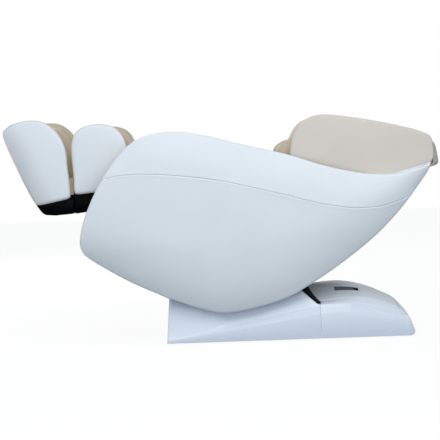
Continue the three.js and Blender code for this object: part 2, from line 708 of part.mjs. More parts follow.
// A cushion swept along a path in the XZ plane. Its sections are rounded oblongs with a crowned top,
// its sides draw in between the ends, and sewn channels dip its face.
function cushion({ place, halfWidth, depth, crown, along, across, sections = 12, around = 22 }) {
  const rings = [];
  for (let k = 0; k <= sections; k += 1) {
    const s = mix(0.012, 0.988, 0.5 - 0.5 * Math.cos((Math.PI * k) / sections));
    const end = (1 - Math.abs(2 * s - 1) ** 5) ** (1 / 3);
    const drawn = halfWidth * (1 - 0.03 * Math.sin(Math.PI * s)) - 14 * (1 - end);
    const ring = [];
    for (let i = 0; i < around; i += 1) {
      const angle = (2 * Math.PI * (i + 0.5)) / around;
      const power = (t) => Math.sign(t) * Math.abs(t) ** 0.45;
      const u = power(Math.cos(angle));
      const v = power(Math.sin(angle));
      const dip = along.reduce((sum, y) => sum + Math.exp(-(((u * drawn - y) / 16) ** 2)), 0)
        + across.reduce((sum, t) => sum + Math.exp(-(((s - t) / 0.028) ** 2)), 0);
      const top = depth / 2 + crown * (1 - u * u) * end - Math.min(1, dip) * 7;
      const height = v > 0 ? v * top : (v * depth) / 2;
      const p = place(s, height * mix(0.45, 1, end) + depth / 2);
      ring.push(new THREE.Vector3(p[0], u * drawn, p[1]));
    }
    rings.push(ring);
  }
  return skin(rings);
}

// The seat's top line runs from the knees down to the crease with the back.
const SEAT_FRONT = [-390, 634];
const SEAT_REAR = [26, 388];
const SEAT_DEPTH = 78;

function seatCushion() {
  const hollow = (s, height) => -16 * Math.sin(Math.PI * s) * (height / SEAT_DEPTH);
  return cushion({
    place: (s, height) => {
      const x = mix(SEAT_REAR[0], SEAT_FRONT[0], s);
      const z = mix(SEAT_REAR[1], SEAT_FRONT[1], s) + hollow(s, height);
      const lift = height - SEAT_DEPTH;
      return [x, z + lift];
    },
    halfWidth: 236,
    depth: SEAT_DEPTH - 10,
    crown: 8,
    along: [-95, 95],
    across: [0.38, 0.7],
  });
}

function backCushion() {
  return cushion({
    place: (s, height) => onTrack(CUSHION_BACK_ARC - height, mix(14.2, 36.4, s)),
    halfWidth: 238,
    depth: CUSHION_BACK_ARC - CUSHION_FRONT_ARC - 8,
    crown: 10,
    along: [-70, 70],
    across: [0.22, 0.4, 0.58],
    sections: 14,
  });
}

function headPillow() {
  return cushion({
    place: (s, height) => onTrack(2064 - height, mix(30.6, 36.9, s)),
    halfWidth: 150,
    depth: 42,
    crown: 14,
    along: [],
    across: [0.5],
    sections: 8,
    around: 18,
  });
}

// The pod frame: two side plates, cross members on which the curved rails sit, and a seat pan.
const POD_PLATE = { y0: 225, y1: 230 };

function podPlateOutline() {
  const shape = toShape([
    [KNEE.x - 6, KNEE.z - 18],
    [KNEE.x - 16, KNEE.z - 10],
    [KNEE.x - 19, KNEE.z],
    [KNEE.x - 13, KNEE.z + 14],
    [KNEE.x, KNEE.z + 19],
    [KNEE.x + 14, KNEE.z + 13],
    [-398, 552],
    [0, 318],
    [55, 300],
    ...band(onTrack, 2182, 2182, 16, 31, 5).slice(0, 6),
    ...band(onTrack, 2216, 2216, 31, 17, 5).slice(0, 6),
    ...band(onCradle, 585, 585, -22, 50, 9).slice(0, 10),
    [-461, 436],
    [-462, 466],
    [-430, 497],
    [-415, 526],
  ]);
  [[-300, 400, 52], [-150, 320, 52], [10, 235, 40], [-368, 476, 24]].forEach(([x, z, r]) => {
    const hole = new THREE.Path();
    hole.absarc(x, z, r, 0, Math.PI * 2);
    shape.holes.push(hole);
  });
  const pivot = new THREE.Path();
  pivot.absarc(KNEE.x, KNEE.z, 9, 0, Math.PI * 2);
  shape.holes.push(pivot);
  return shape;
}

const CROSS_ANGLES = [-20, 4, 27, 49];
const RAIL_SEAT_GAP = 0.9; // leaves room for the facets of the rail's arc

function podFrame() {
  const { y0, y1 } = POD_PLATE;
  const pieces = [
    solid(plate(podPlateOutline(), -y1, -y0, 5)),
    solid(plate(podPlateOutline(), y0, y1, 5)),
  ];
  CROSS_ANGLES.forEach((degrees) => {
    const top = CRADLE.z - RAIL_INNER + RAIL_SEAT_GAP;
    const beam = bar(CRADLE.x - 15, CRADLE.x + 15, -y0 - 1, y0 + 1, top, top + 30);
    pieces.push(solid(turned(beam, CRADLE, -degrees)));
  });
  // Seat pan and its upstand at the crease.
  pieces.push(solid(plate([[-372, 530.6], [18, 300.4], [18, 296.2], [-372, 526.4]], -y0 - 1, y0 + 1)));
  return joined(pieces);
}

function arcRail(side) {
  const section = channelSection(RAIL_INNER, RAIL_OUTER, side * 160, side * 188, RAIL_FLANGE);
  return bentBar(onCradle, section, -24, 51, 16);
}

// The massage track: two C-section guide rails that open inwards, tied at both ends.
const TRACK_FROM = 14.6;
const TRACK_TO = 31.2;

function massageTrack() {
  const pieces = [-1, 1].map((side) => {
    const section = channelSection(2186, 2210, side * 190, side * 172, 4);
    return solid(bentBar(onTrack, section, TRACK_FROM, TRACK_TO, 6));
  });
  [TRACK_FROM + 0.15, TRACK_TO - 0.15].forEach((degrees) => {
    pieces.push(solid(plate(band(onTrack, 2186, 2214, degrees - 0.14, degrees + 0.14, 1), -224.6, 224.6)));
  });
  return joined(pieces);
}

// Carriage frame with trunnions that run in the guide rails, a gear case and the kneading shaft.
function carriageFrame() {
  const pieces = [
    solid(plate(band(onTrack, 2203, 2216, -2.2, 2.2, 2), -168, 168)),
    solid(plate(band(onTrack, 2174, 2205, -1.1, 1.1, 2), -30, 30)),
    solid(crossBar(onTrack(2190, 0), 7, -166, 166, 12)),
  ];
  [-1, 1].forEach((side) => {
    const ends = (a, b) => (side < 0 ? [-b, -a] : [a, b]);
    pieces.push(solid(plate(band(onTrack, 2180, 2204, -2.2, 2.2, 2), ...ends(160, 168))));
    [-1.9, 1.9].forEach((degrees) => {
      pieces.push(solid(crossBar(onTrack(TRACK_ARC - 2.2, degrees), 7.2, ...ends(166, 184.5), 14)));
    });
  });
  return joined(pieces);
}

// A kneading arm: a hub on the shaft and two prongs with stub axles for the rollers.
const ARM_ANGLES = [-1.35, 1.35];

function kneadingArm(side) {
  const ends = (a, b) => (side < 0 ? [-b, -a] : [a, b]);
  const hub = onTrack(2190, 0);
  const pieces = [solid(crossBar(hub, 12, ...ends(44, 66), 12))];
  ARM_ANGLES.forEach((degrees) => {
    const tip = onTrack(ROLLER_TRACK_ARC, degrees);
    const length = Math.hypot(tip[0] - hub[0], tip[1] - hub[1]);
    const angle = Math.atan2(tip[1] - hub[1], tip[0] - hub[0]);
    const prong = new THREE.Shape();
    prong.moveTo(0, -9);
    prong.lineTo(length, -9);
    prong.absarc(length, 0, 9, -Math.PI / 2, Math.PI / 2, false);
    prong.lineTo(0, 9);
    const geometry = plate(prong, ...ends(50, 60), 6).rotateY(-angle).translate(hub[0], 0, hub[1]);
    pieces.push(solid(geometry), solid(crossBar(tip, 5, ...ends(58, 96), 8)));
  });
  return cut(joined(pieces), solid(crossBar(hub, 7.5, -100, 100, 12)));
}

function massageRoller(side, degrees) {
  const [x, z] = onTrack(ROLLER_TRACK_ARC, degrees);
  const half = 13;
  const profile = Array.from({ length: 4 }, (_, i) => {
    const y = mix(-half, half, i / 3);
    return new THREE.Vector2(21 + 7 * Math.sqrt(1 - (y / half) ** 2), y);
  });
  profile.unshift(new THREE.Vector2(5.3, -half));
  profile.push(new THREE.Vector2(5.3, half), new THREE.Vector2(5.3, -half));
  return new THREE.LatheGeometry(profile, 12).translate(x, side * 78, z);
}

// The back cover hangs between the shells, closes the pod behind, and ends in the rounded head end.
function backCover() {
  const outer = [
    [275, 226], [342, 262], [460, 335], [574, 420], [677, 518], [752, 607], [800, 660], [850, 684],
    [886, 700], [898, 724], [893, 752], [872, 782], [836, 798], [800, 797],
  ];
  const inner = [
    [798, 790], [832, 790], [866, 776], [885, 750], [890, 726], [880, 708], [846, 692], [795, 667],
    [747, 611], [673, 523], [570, 426], [457, 341], [340, 268], [273, 232],
  ];
  const loop = [...outer, ...inner];
  const bow = (x, y) => x - 48 * clamp01((x - 790) / 100) * (y / 240) ** 2;
  return skin([-241, -150, 0, 150, 241].map((y) =>
    loop.map(([x, z]) => new THREE.Vector3(bow(x, y), y, z))));
}

function frontValance() {
  const outer = [[-440, 500], [-482, 462], [-538, 422], [-562, 397], [-552, 377], [-468, 381.5]];
  const inner = [[-468, 386], [-549, 382], [-556, 397], [-534, 418], [-479, 458], [-438, 495]];
  return plate([...outer, ...inner], -241, 241);
}

// The belly pan closes the pod below. Slots let the rails, the roller brackets and the rack through.
const BELLY = { inner: 587.5, outer: 591.5, rear: -25.4, front: 52.4 };

function bellyPan() {
  const { inner, outer, rear, front } = BELLY;
  const strip = (y0, y1, from, to, steps) =>
    solid(bentBar(onCradle, [[inner, y0], [outer, y0], [outer, y1], [inner, y1]], from, to, steps));
  const tongues = [-1, 1].flatMap((side) => [
    strip(side * 18, side * 157, rear, front, 11),
    strip(side * 199, side * 241, rear, front, 11),
  ]);
  return joined(tongues, strip(-241, 241, rear, rear + 1.1, 1), strip(-241, 241, front - 1.1, front, 1));
}

// Gear motor of the legrest: its case is clamped round the knee shaft, and the motor hangs below.
function legrestMotor() {
  const gearCase = solid(crossBar([KNEE.x, KNEE.z], 30, 60, 104, 20));
  const angle = -64 * DEG;
  const reach = 142;
  const can = solid(
    new THREE.CylinderGeometry(24, 24, reach - 18, 16)
      .rotateZ(-Math.PI / 2)
      .translate((reach + 18) / 2, 0, 0)
      .rotateY(-angle)
      .translate(KNEE.x, 82, KNEE.z));
  const bore = solid(crossBar([KNEE.x, KNEE.z], 12.6, 50, 120, 20));
  const torqueArm = solid(bar(-376, -364, 70, 94, 470, 518));
  return cut(joined(gearCase, can, torqueArm), bore);
}

addPair(pod, 'SIDE_side_shell', sideShell, WHITE_LEATHER);
addPair(pod, 'SIDE_arm_pad', armPad, BEIGE_LEATHER);
addPair(pod, 'SIDE_head_wing', headWing, TAUPE_LEATHER);
addPair(pod, 'SIDE_shoulder_pad', shoulderPad, BEIGE_LEATHER);
addPair(pod, 'SIDE_arc_rail', arcRail, STEEL);
add(pod, 'pod_frame', podFrame(), STEEL);
add(pod, 'sector_rack', sectorRack(), BRIGHT_STEEL);
add(pod, 'seat_cushion', seatCushion(), BEIGE_LEATHER);
add(pod, 'back_cushion', backCushion(), BEIGE_LEATHER);
add(pod, 'head_pillow', headPillow(), BEIGE_LEATHER);
add(pod, 'back_cover', backCover(), DARK_LEATHER);
add(pod, 'front_valance', frontValance(), BLACK_PLASTIC);
add(pod, 'belly_pan', bellyPan(), BLACK_PLASTIC);
add(pod, 'massage_track', massageTrack(), STEEL);
add(pod, 'legrest_motor', legrestMotor(), CAST_ALUMINIUM);

const onCarriage = (shape) =>
  turned(shape.isBufferGeometry ? shape : geometryOf(shape), TRACK, CARRIAGE_ANGLE);
add(carriage, 'carriage_frame', onCarriage(carriageFrame()), CAST_ALUMINIUM);
addPair(carriage, 'SIDE_kneading_arm', (side) => onCarriage(kneadingArm(side)), CAST_ALUMINIUM);
[['lower', ARM_ANGLES[0]], ['upper', ARM_ANGLES[1]]].forEach(([word, degrees]) => {
  addPair(carriage, `SIDE_${word}_roller`, (side) =>
    onCarriage(massageRoller(side, degrees)), ROLLER_PLASTIC);
});

// ================= Legrest =================

// Side outlines of the calf and foot panels, seen from the left.
const CALF_PANEL = [
  [-622, 789], [-619, 832], [-603, 869], [-568, 893], [-510, 901], [-455, 890], [-421, 860],
  [-402, 812], [-396, 740], [-402, 668], [-420, 634], [-470, 630], [-540, 630], [-606, 626],
  [-617, 640], [-617, 690],
];
const FOOT_PANEL = [
  [-896, 888], [-870, 909], [-831, 921], [-790, 926], [-745, 921], [-703, 897], [-668, 852],
  [-650, 800], [-646, 740], [-641, 680], [-639, 622], [-648, 609], [-700, 598], [-766, 587],
  [-782, 598], [-812, 656], [-846, 733], [-882, 820], [-897, 868],
];

const calfOutline = (count) => evenPoints(splinePath(CALF_PANEL[0], CALF_PANEL.slice(1)), count);
const footOutline = (count) => evenPoints(splinePath(FOOT_PANEL[0], FOOT_PANEL.slice(1)), count);

function sidePanel(outline, centre, side) {
  const shape = pillow(outline, centre, LEG_HALF_WIDTH - 11, LEG_HALF_WIDTH, 0.08);
  return side < 0 ? mirrored(shape, 1) : shape;
}

// Highest point of a closed outline at one x.
function topAt(outline, x) {
  let best = -Infinity;
  outline.forEach((p, i) => {
    const q = outline[(i + 1) % outline.length];
    if ((p.x - x) * (q.x - x) <= 0 && p.x !== q.x) {
      best = Math.max(best, mix(p.y, q.y, (x - p.x) / (q.x - p.x)));
    }
  });
  return best;
}

const TROUGH_Y = 112; // middle of a leg's trough
const TROUGH_HALF = 74;

// Two U-shaped troughs between three rounded lobes. The middle lobe is a little lower.
function lobes(y, top, floor) {
  const u = (Math.abs(y) - TROUGH_Y) / TROUGH_HALF;
  const crest = top - (Math.abs(y) < TROUGH_Y ? 14 : 0);
  if (Math.abs(u) >= 1) {
    const beyond = Math.abs(y) > TROUGH_Y ? (Math.abs(y) - TROUGH_Y - TROUGH_HALF) / 38 : 1;
    return crest + 6 * Math.sin(Math.PI * clamp01(beyond)) - 6;
  }
  return Math.min(crest - 6, mix(floor, crest - 6, 1 - (1 - Math.abs(u) ** 3.2) ** (1 / 2.2)));
}

function calfPad() {
  const outline = calfOutline(96);
  const half = LEG_HALF_WIDTH - 12;
  const rings = [-615, -606, -588, -550, -500, -455, -430, -413, -406].map((x) => {
    const top = topAt(outline, x) + 8;
    const floor = Math.min(top - 40, 700 + 6 * Math.abs((x + 510) / 100) ** 2);
    const ring = [[half, 636], [-half, 636]];
    for (let i = 0; i <= 26; i += 1) {
      const y = mix(-half, half, i / 26);
      ring.push([y, lobes(y, top, floor)]);
    }
    return ring.map(([y, z]) => new THREE.Vector3(x, y, z));
  });
  const pad = solid(skin(rings));
  const kneeRelief = solid(crossBar([KNEE.x, KNEE.z], 60, -300, 300, 40));
  return cut(pad, kneeRelief);
}

// Two boot-shaped wells, open above and towards the calves, behind one slanted sole wall.
function footPad() {
  const outline = footOutline(56);
  const centre = [-755, 760];
  const grown = outline.map((p) => {
    const upper = clamp01((p.y - 640) / 200);
    const out = 1 + (mix(-4, p.x < -820 ? 1.5 : 7, upper) / Math.hypot(p.x - centre[0], p.y - centre[1]));
    return [mix(centre[0], p.x, out), mix(centre[1], p.y, out)];
  });
  const half = LEG_HALF_WIDTH - 12;
  const body = solid(plate(grown, -half, half));
  const well = (y) => {
    const profile = new THREE.Shape();
    profile.moveTo(-600, 655);
    profile.lineTo(-722, 642);
    profile.quadraticCurveTo(-752, 640, -768, 680);
    profile.lineTo(-862, 905);
    profile.lineTo(-872, 990);
    profile.lineTo(-600, 990);
    return solid(plate(profile, y - TROUGH_HALF, y + TROUGH_HALF, 6));
  };
  const lowMiddle = solid(bar(-900, -600, -TROUGH_Y + TROUGH_HALF, TROUGH_Y - TROUGH_HALF, 900, 960));
  return cut(body, well(-TROUGH_Y), well(TROUGH_Y), lowMiddle);
}

// Black chassis under the calves: a tray with rounded edges, knee lugs and the knee shaft.
const SLIDE_Y = 150;
const SLIDE_FRONT = [-622, 590]; // the slide's line passes here
const slideZ = (x) => SLIDE_FRONT[1] + (x - SLIDE_FRONT[0]) * Math.tan(LEG_TILT * DEG);

function slideRod(y, x0, x1, radius) {
  const length = (x1 - x0) / Math.cos(LEG_TILT * DEG);
  return new THREE.CylinderGeometry(radius, radius, length, 12)
    .rotateZ(-Math.PI / 2)
    .rotateY(-LEG_TILT * DEG)
    .translate((x0 + x1) / 2, y, (slideZ(x0) + slideZ(x1)) / 2);
}

function legrestChassis() {
  const outer = [
    [-622, 545], [-616, 543], [-560, 550], [-502, 555], [-492, 561], [-488, 574], [-488, 622],
    [-612, 622], [-622, 618],
  ];
  const inner = [[-614, 551], [-560, 556], [-504, 561], [-496, 572], [-494, 700], [-614, 700]];
  const tray = cut(solid(plate(outer, -216, 216)), solid(plate(inner, -210, 210)));
  const pieces = [tray];
  [-1, 1].forEach((side) => {
    const ends = (a, b) => (side < 0 ? [-b, -a] : [a, b]);
    const lug = [[-510, 560], [-446, 566], [-425, 576], [-423, 594], [-438, 604], [-510, 618]];
    pieces.push(solid(plate(lug, ...ends(206, 216))));
    pieces.push(solid(crossBar([KNEE.x, KNEE.z], 8, ...ends(214, 233), 12)));
    pieces.push(solid(slideRod(side * SLIDE_Y, -620, -500, 14)));
  });
  pieces.push(solid(crossBar([KNEE.x, KNEE.z], 12, -212, 212, 16)));
  const bores = [-1, 1].map((side) => solid(slideRod(side * SLIDE_Y, -640, -470, 9.6)));
  return cut(joined(pieces), bores);
}

function footChassis() {
  const outline = new THREE.Shape();
  outline.moveTo(-780, 584.5);
  outline.lineTo(-766, 565);
  outline.quadraticCurveTo(-754, 545, -738, 541.5);
  outline.lineTo(-700, 538.5);
  outline.lineTo(-632, 543);
  outline.quadraticCurveTo(-625, 544, -624.5, 552);
  outline.lineTo(-624.5, 604);
  outline.lineTo(-640, 605.5);
  const body = solid(plate(outline, -222, 222));
  const hollow = solid(plate([[-756, 574], [-744, 554], [-640, 552], [-636, 640], [-744, 640]], -212, 212));
  const rollerBay = solid(bar(-724, -704, -62, 62, 500, 560));
  const pieces = [cut(body, hollow, rollerBay)];
  [-1, 1].forEach((side) => {
    pieces.push(solid(slideRod(side * SLIDE_Y, -700, -512, 9)));
    pieces.push(solid(bar(-712, -696, side * SLIDE_Y - 14, side * SLIDE_Y + 14, 550, 594)));
  });
  const pin = solid(crossBar([-714, 545], 3, -64, 64, 12));
  return joined(pieces, pin);
}

// A pleated sleeve in the gap between the calf and the foot section.
function bellows() {
  const pleats = 4;
  const points = [];
  const x0 = -638.5;
  const x1 = -622.5;
  for (let i = 0; i <= pleats * 2; i += 1) {
    points.push([mix(x0, x1, i / (pleats * 2)), i % 2 ? 668 : 660]);
  }
  const lower = points.map(([x]) => [x, 624]).reverse();
  return plate([...points, ...lower], -205, 205);
}

addPair(legrest, 'SIDE_calf_panel', (side) => sidePanel(calfOutline(28), [-510, 765], side), WHITE_LEATHER);
add(legrest, 'calf_pad', calfPad(), BEIGE_LEATHER);
add(legrest, 'legrest_chassis', legrestChassis(), BLACK_PLASTIC);
add(legrest, 'bellows', bellows(), BEIGE_LEATHER);
addPair(footrest, 'SIDE_foot_panel', (side) => sidePanel(footOutline(30), [-755, 760], side), WHITE_LEATHER);
add(footrest, 'foot_pad', footPad(), BEIGE_LEATHER);
add(footrest, 'foot_chassis', footChassis(), BLACK_PLASTIC);
add(footrest, 'bumper_roller', wheelRing([-714, 545], 0, 58, 8.5, 3.3, 12, 2), BLACK_RUBBER);

export default massageChair;
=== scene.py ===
"""Massage chair: the looks of each piece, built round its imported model.

Blender's metres, +Z up. +X runs to the head end. The sitter faces -X, so the sitter's left is at -Y, the
side that the camera sees. Outlines and sections are written in millimetres and are scaled when meshed.
"""
import json
from math import cos, pi, radians, sin, sqrt

import bmesh
import bpy
import numpy as np
from mathutils import Matrix, Vector
from mathutils.bvhtree import BVHTree


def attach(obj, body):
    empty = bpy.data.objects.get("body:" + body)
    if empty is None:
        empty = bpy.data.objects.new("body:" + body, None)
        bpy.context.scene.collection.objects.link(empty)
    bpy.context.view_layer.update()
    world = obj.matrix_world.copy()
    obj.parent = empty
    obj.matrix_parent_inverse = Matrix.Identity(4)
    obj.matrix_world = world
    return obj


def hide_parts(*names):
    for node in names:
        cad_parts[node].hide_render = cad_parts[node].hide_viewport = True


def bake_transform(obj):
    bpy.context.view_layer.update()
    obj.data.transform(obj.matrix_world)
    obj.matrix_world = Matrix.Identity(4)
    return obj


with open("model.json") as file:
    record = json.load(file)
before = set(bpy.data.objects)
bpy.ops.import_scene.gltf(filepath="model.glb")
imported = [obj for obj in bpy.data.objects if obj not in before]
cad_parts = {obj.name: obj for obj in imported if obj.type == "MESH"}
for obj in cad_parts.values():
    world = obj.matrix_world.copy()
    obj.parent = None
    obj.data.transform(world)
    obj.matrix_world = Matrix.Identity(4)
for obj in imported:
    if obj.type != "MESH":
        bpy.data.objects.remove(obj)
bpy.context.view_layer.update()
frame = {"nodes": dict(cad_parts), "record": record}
scene = bpy.context.scene
scene.view_settings.view_transform = "Standard"

# ---- Camera ----
# A long lens five metres from the chair's left side, at about the height of its arms. It looks slightly
# down and left, and the picture is turned a little clockwise.
EYE = (0.07124, -4.990, 0.78068)
YAW, PITCH, ROLL = radians(1.22), radians(3.42), radians(2.20)
LENS = 95.8


def in_scene(name, data):
    """A new object in the scene."""
    item = bpy.data.objects.new(name, data)
    scene.collection.objects.link(item)
    return item


forward = Vector((-sin(YAW) * cos(PITCH), cos(YAW) * cos(PITCH), -sin(PITCH)))
level_right = Vector((cos(YAW), sin(YAW), 0.0))
level_up = level_right.cross(forward)
right = level_right * cos(ROLL) - level_up * sin(ROLL)
up = level_up * cos(ROLL) + level_right * sin(ROLL)
camera = in_scene("camera", bpy.data.cameras.new("camera"))
camera.data.lens = LENS
camera.data.sensor_width = 36.0
camera.matrix_world = Matrix.Translation(EYE) @ Matrix((right, up, -forward)).transposed().to_4x4()
scene.camera = camera

# ---- Studio ----
# A white floor that keeps the chair's shadow, a surround that is brightest low on the camera's side, and
# three soft lamps: a large one high on the camera's side, a small one low there, and one behind the feet.
HORIZON_LEVEL = 1.0
ZENITH_LEVEL = 0.45
FRONT_SHARE = 1.25
BACK_SHARE = 0.45
MIRRORED_SHARE = 0.25
FLOOR_HALF = 9.0
FLOOR_GLOW = 0.92


def srgb(red, green, blue):
    """A colour as it looks, 0 to 255, in the linear values that a shader takes."""
    def linear(c):
        c /= 255.0
        return c / 12.92 if c <= 0.04045 else ((c + 0.055) / 1.055) ** 2.4
    return (linear(red), linear(green), linear(blue), 1.0)


def add_node(tree, kind, **values):
    """A shader node, or a node of any kind by its full name.

    Its properties, or its inputs with underscores for spaces, take the values; slot_6 is input number 6.
    """
    node = tree.nodes.new(kind if "Node" in kind else "ShaderNode" + kind)
    for key, value in values.items():
        if key.startswith("slot_"):
            node.inputs[int(key[5:])].default_value = value
        elif key.replace("_", " ") in node.inputs and not hasattr(node, key):
            node.inputs[key.replace("_", " ")].default_value = value
        else:
            setattr(node, key, value)
    return node


def wire_up(tree, made, nodes, links):
    """Adds nodes to a tree beside those made, each a kind and its values, and links them.

    A link reads "node.Output > node.Input". A socket is its name or its number.
    """
    for word, (kind, values) in nodes.items():
        made[word] = add_node(tree, kind, **values)
    for link in links:
        ends = [end.split(".") for end in link.split(" > ")]
        (source, output), (target, entry) = [(made[word], int(socket) if socket.isdigit() else socket)
                                             for word, socket in ends]
        tree.links.new(source.outputs[output], target.inputs[entry])


world = bpy.data.worlds.new("studio")
world.use_nodes = True
scene.world = world
tree = world.node_tree
sky = tree.nodes["Background"]
sky.inputs["Color"].default_value = srgb(235, 243, 248)
wire_up(tree, {"sky": sky, "world": tree.nodes["World Output"]}, {
    "toward": ("TexCoord", {}),
    "part": ("SeparateXYZ", {}),
    "level": ("MapRange", dict(To_Min=HORIZON_LEVEL, To_Max=ZENITH_LEVEL)),
    "side": ("MapRange", dict(From_Min=-1.0, To_Min=FRONT_SHARE, To_Max=BACK_SHARE)),
    "strength": ("Math", dict(operation="MULTIPLY")),
    "white": ("Background", dict(Color=(1, 1, 1, 1), Strength=1.0)),
    "path": ("LightPath", {}),
    "seen": ("Math", dict(operation="MAXIMUM")),
    "mirrored": ("Math", dict(operation="MULTIPLY_ADD", use_clamp=True, slot_1=MIRRORED_SHARE)),
    "blend": ("MixShader", {}),
}, [
    "toward.Generated > part.Vector", "part.Z > level.Value", "part.Y > side.Value",
    "level.Result > strength.0", "side.Result > strength.1", "strength.Value > sky.Strength",
    "path.Is Camera Ray > seen.0", "path.Is Transmission Ray > seen.1", "path.Is Glossy Ray > mirrored.0",
    "seen.Value > mirrored.2", "mirrored.Value > blend.0", "sky.Background > blend.1",
    "white.Background > blend.2", "blend.Shader > world.Surface"])


def lamp(name, place, target, width, height, watts):
    """A soft rectangular lamp at a place, facing a target."""
    data = bpy.data.lights.new(name, "AREA")
    data.shape = "RECTANGLE"
    data.size, data.size_y = width, height
    data.energy = watts
    item = in_scene(name, data)
    item.location = place
    item.rotation_euler = (Vector(target) - Vector(place)).to_track_quat("-Z", "Y").to_euler()


lamp("high_front", (0.6, -2.7, 3.1), (0.2, 0.0, 0.5), 4.4, 2.2, 68)
lamp("low_front", (0.5, -3.9, 1.5), (0.0, 0.0, 0.5), 2.0, 1.2, 10)
lamp("rear_left", (-2.2, 3.0, 2.4), (0.0, 0.0, 0.5), 2.6, 1.8, 80)

floor_mesh = bpy.data.meshes.new("floor")
corners = [(-1, -1), (1, -1), (1, 1), (-1, 1)]
floor_mesh.from_pydata([(x * FLOOR_HALF, y * FLOOR_HALF, 0) for x, y in corners], [], [(0, 1, 2, 3)])
floor = in_scene("floor", floor_mesh)
floor_paint = bpy.data.materials.new("floor_white")
floor_paint.use_nodes = True
tree = floor_paint.node_tree
tree.nodes.remove(tree.nodes["Principled BSDF"])
wire_up(tree, {"paint": tree.nodes["Material Output"]}, {
    "grey": ("BsdfDiffuse", dict(Color=(0.40, 0.435, 0.465, 1))),
    "chalk": ("BsdfDiffuse", dict(Color=(1, 1, 1, 1))),
    "glow": ("Emission", dict(Color=(1, 1, 1, 1), Strength=1.0)),
    "path": ("LightPath", {}),
    "pale": ("MixShader", dict(Fac=FLOOR_GLOW)),
    "blend": ("MixShader", {}),
}, ["chalk.BSDF > pale.1", "glow.Emission > pale.2", "path.Is Camera Ray > blend.0", "grey.BSDF > blend.1",
    "pale.Shader > blend.2", "blend.Shader > paint.Surface"])
floor_mesh.materials.append(floor_paint)

# ---- Side shells ----
# Each side of the pod is a deep pan of moulded board under foam and white synthetic leather. The leather
# is cut in two panels, joined by one long sewn seam with a topstitch below it, and rolls over the edge.
CRADLE = (5, 743)
SHELL_ARC = 608
HEAD_TIP = (820, 701)
ARM_EDGE = [
    (776, 683), (712, 667), (648, 660), (541, 669), (392, 704), (244, 755), (52, 805), (-82, 842),
    (-203, 860), (-325, 844), (-409, 788), (-494, 678), (-557, 555), (-588, 460), (-589, 402),
    (-550, 357), (-411, 270)]
BACK_EDGE = [(420, 287), (574, 401), (677, 500), (753, 592), (806, 664), HEAD_TIP]
SEAM = [
    (-492, 679), (-480, 682), (-451, 688), (-411, 694), (-310, 695), (-169, 682), (-21, 659), (95, 630),
    (225, 596), (344, 562), (429, 543), (492, 533), (556, 531), (620, 536), (685, 553), (733, 573)]
HIGH_END = [(852, 748), (800, 800), (650, 824), (450, 815), (244, 807), (52, 805)]
SHELL_CENTRE = np.array((60, 500))
SHELL_FACE = 376
SHELL_THICKNESS = 42
RIM_FACE, RIM_FACE_BELOW = 354, 294
RIM_INSIDE = 297
WALL_INSIDE = 286
DOME_RUN, DOME_RUN_BELOW = 235, 350
EDGE_ROUND = 9
SEAM_DEPTH, SEAM_WIDTH = 2.4, 1.3
HEM = 8


def eased(value, start, full):
    """A ramp from 0 at the start to 1 at full, soft at both ends."""
    t = np.clip((value - start) / (full - start), 0, 1)
    return t * t * (3 - 2 * t)


def swelling(x, height, middle, width):
    """A soft rise, or a dip of negative height."""
    return height * np.exp(-((x - middle) / width) ** 2)


def unit(vectors):
    return vectors / np.maximum(np.linalg.norm(vectors, axis=1, keepdims=True), 1e-9)


def curve_through(points, steps=16):
    """A smooth open curve through the points, each stretch cut in the same number of steps."""
    p = [np.array(q, float) for q in (points[0], *points, points[-1])]
    made = []
    for a, b, c, d in zip(p, p[1:], p[2:], p[3:]):
        for t in np.arange(steps) / steps:
            made.append(0.5 * (2 * b + (c - a) * t + (2 * a - 5 * b + 4 * c - d) * t * t
                               + (3 * b - 3 * c + d - a) * t ** 3))
    made.append(p[-1])
    return np.array(made)


def spaced(points, count):
    """The same open path as a given count of evenly spaced points."""
    points = np.asarray(points, float)
    run = np.append(0, np.cumsum(np.linalg.norm(np.diff(points, axis=0), axis=1)))
    at = np.linspace(0, run[-1], count)
    return np.stack([np.interp(at, run, column) for column in points.T], axis=1)


def along(points, fractions):
    """Points of an open path at the given fractions of its length."""
    run = np.append(0, np.cumsum(np.linalg.norm(np.diff(points, axis=0), axis=1)))
    return np.stack([np.interp(np.asarray(fractions) * run[-1], run, column) for column in points.T], axis=1)


def on_cradle(radius, degrees_forward):
    """A point about the pod's tilt axis; the angle grows towards the feet from straight below."""
    angle = radians(degrees_forward)
    return (CRADLE[0] - radius * sin(angle), CRADLE[1] - radius * cos(angle))


def new_piece(name, mesh, material):
    """A piece at the origin with one material."""
    mesh.materials.clear()
    mesh.materials.append(material)
    return in_scene(name, mesh)


def reworked(mesh, *steps):
    """Runs steps on an editable copy of a mesh and puts the result back."""
    work = bmesh.new()
    work.from_mesh(mesh)
    for step in steps:
        step(work)
    work.to_mesh(mesh)
    work.free()


def merge_doubles(work):
    bmesh.ops.remove_doubles(work, verts=work.verts, dist=1e-5)


def face_outward(work):
    bmesh.ops.dissolve_degenerate(work, dist=1e-6, edges=work.edges)
    bmesh.ops.recalc_face_normals(work, faces=work.faces)
    if work.calc_volume(signed=True) < 0:
        bmesh.ops.reverse_faces(work, faces=work.faces)


def meshed(name, points, faces, material, smooth=40):
    """A closed piece from points in millimetres: doubles merged, faces outward, smooth by angle."""
    mesh = bpy.data.meshes.new(name)
    mesh.from_pydata((np.asarray(points, float) / 1000).tolist(), [], faces)
    reworked(mesh, merge_doubles, face_outward)
    mesh.shade_smooth()
    mesh.set_sharp_from_angle(angle=radians(smooth))
    return new_piece(name, mesh, material)


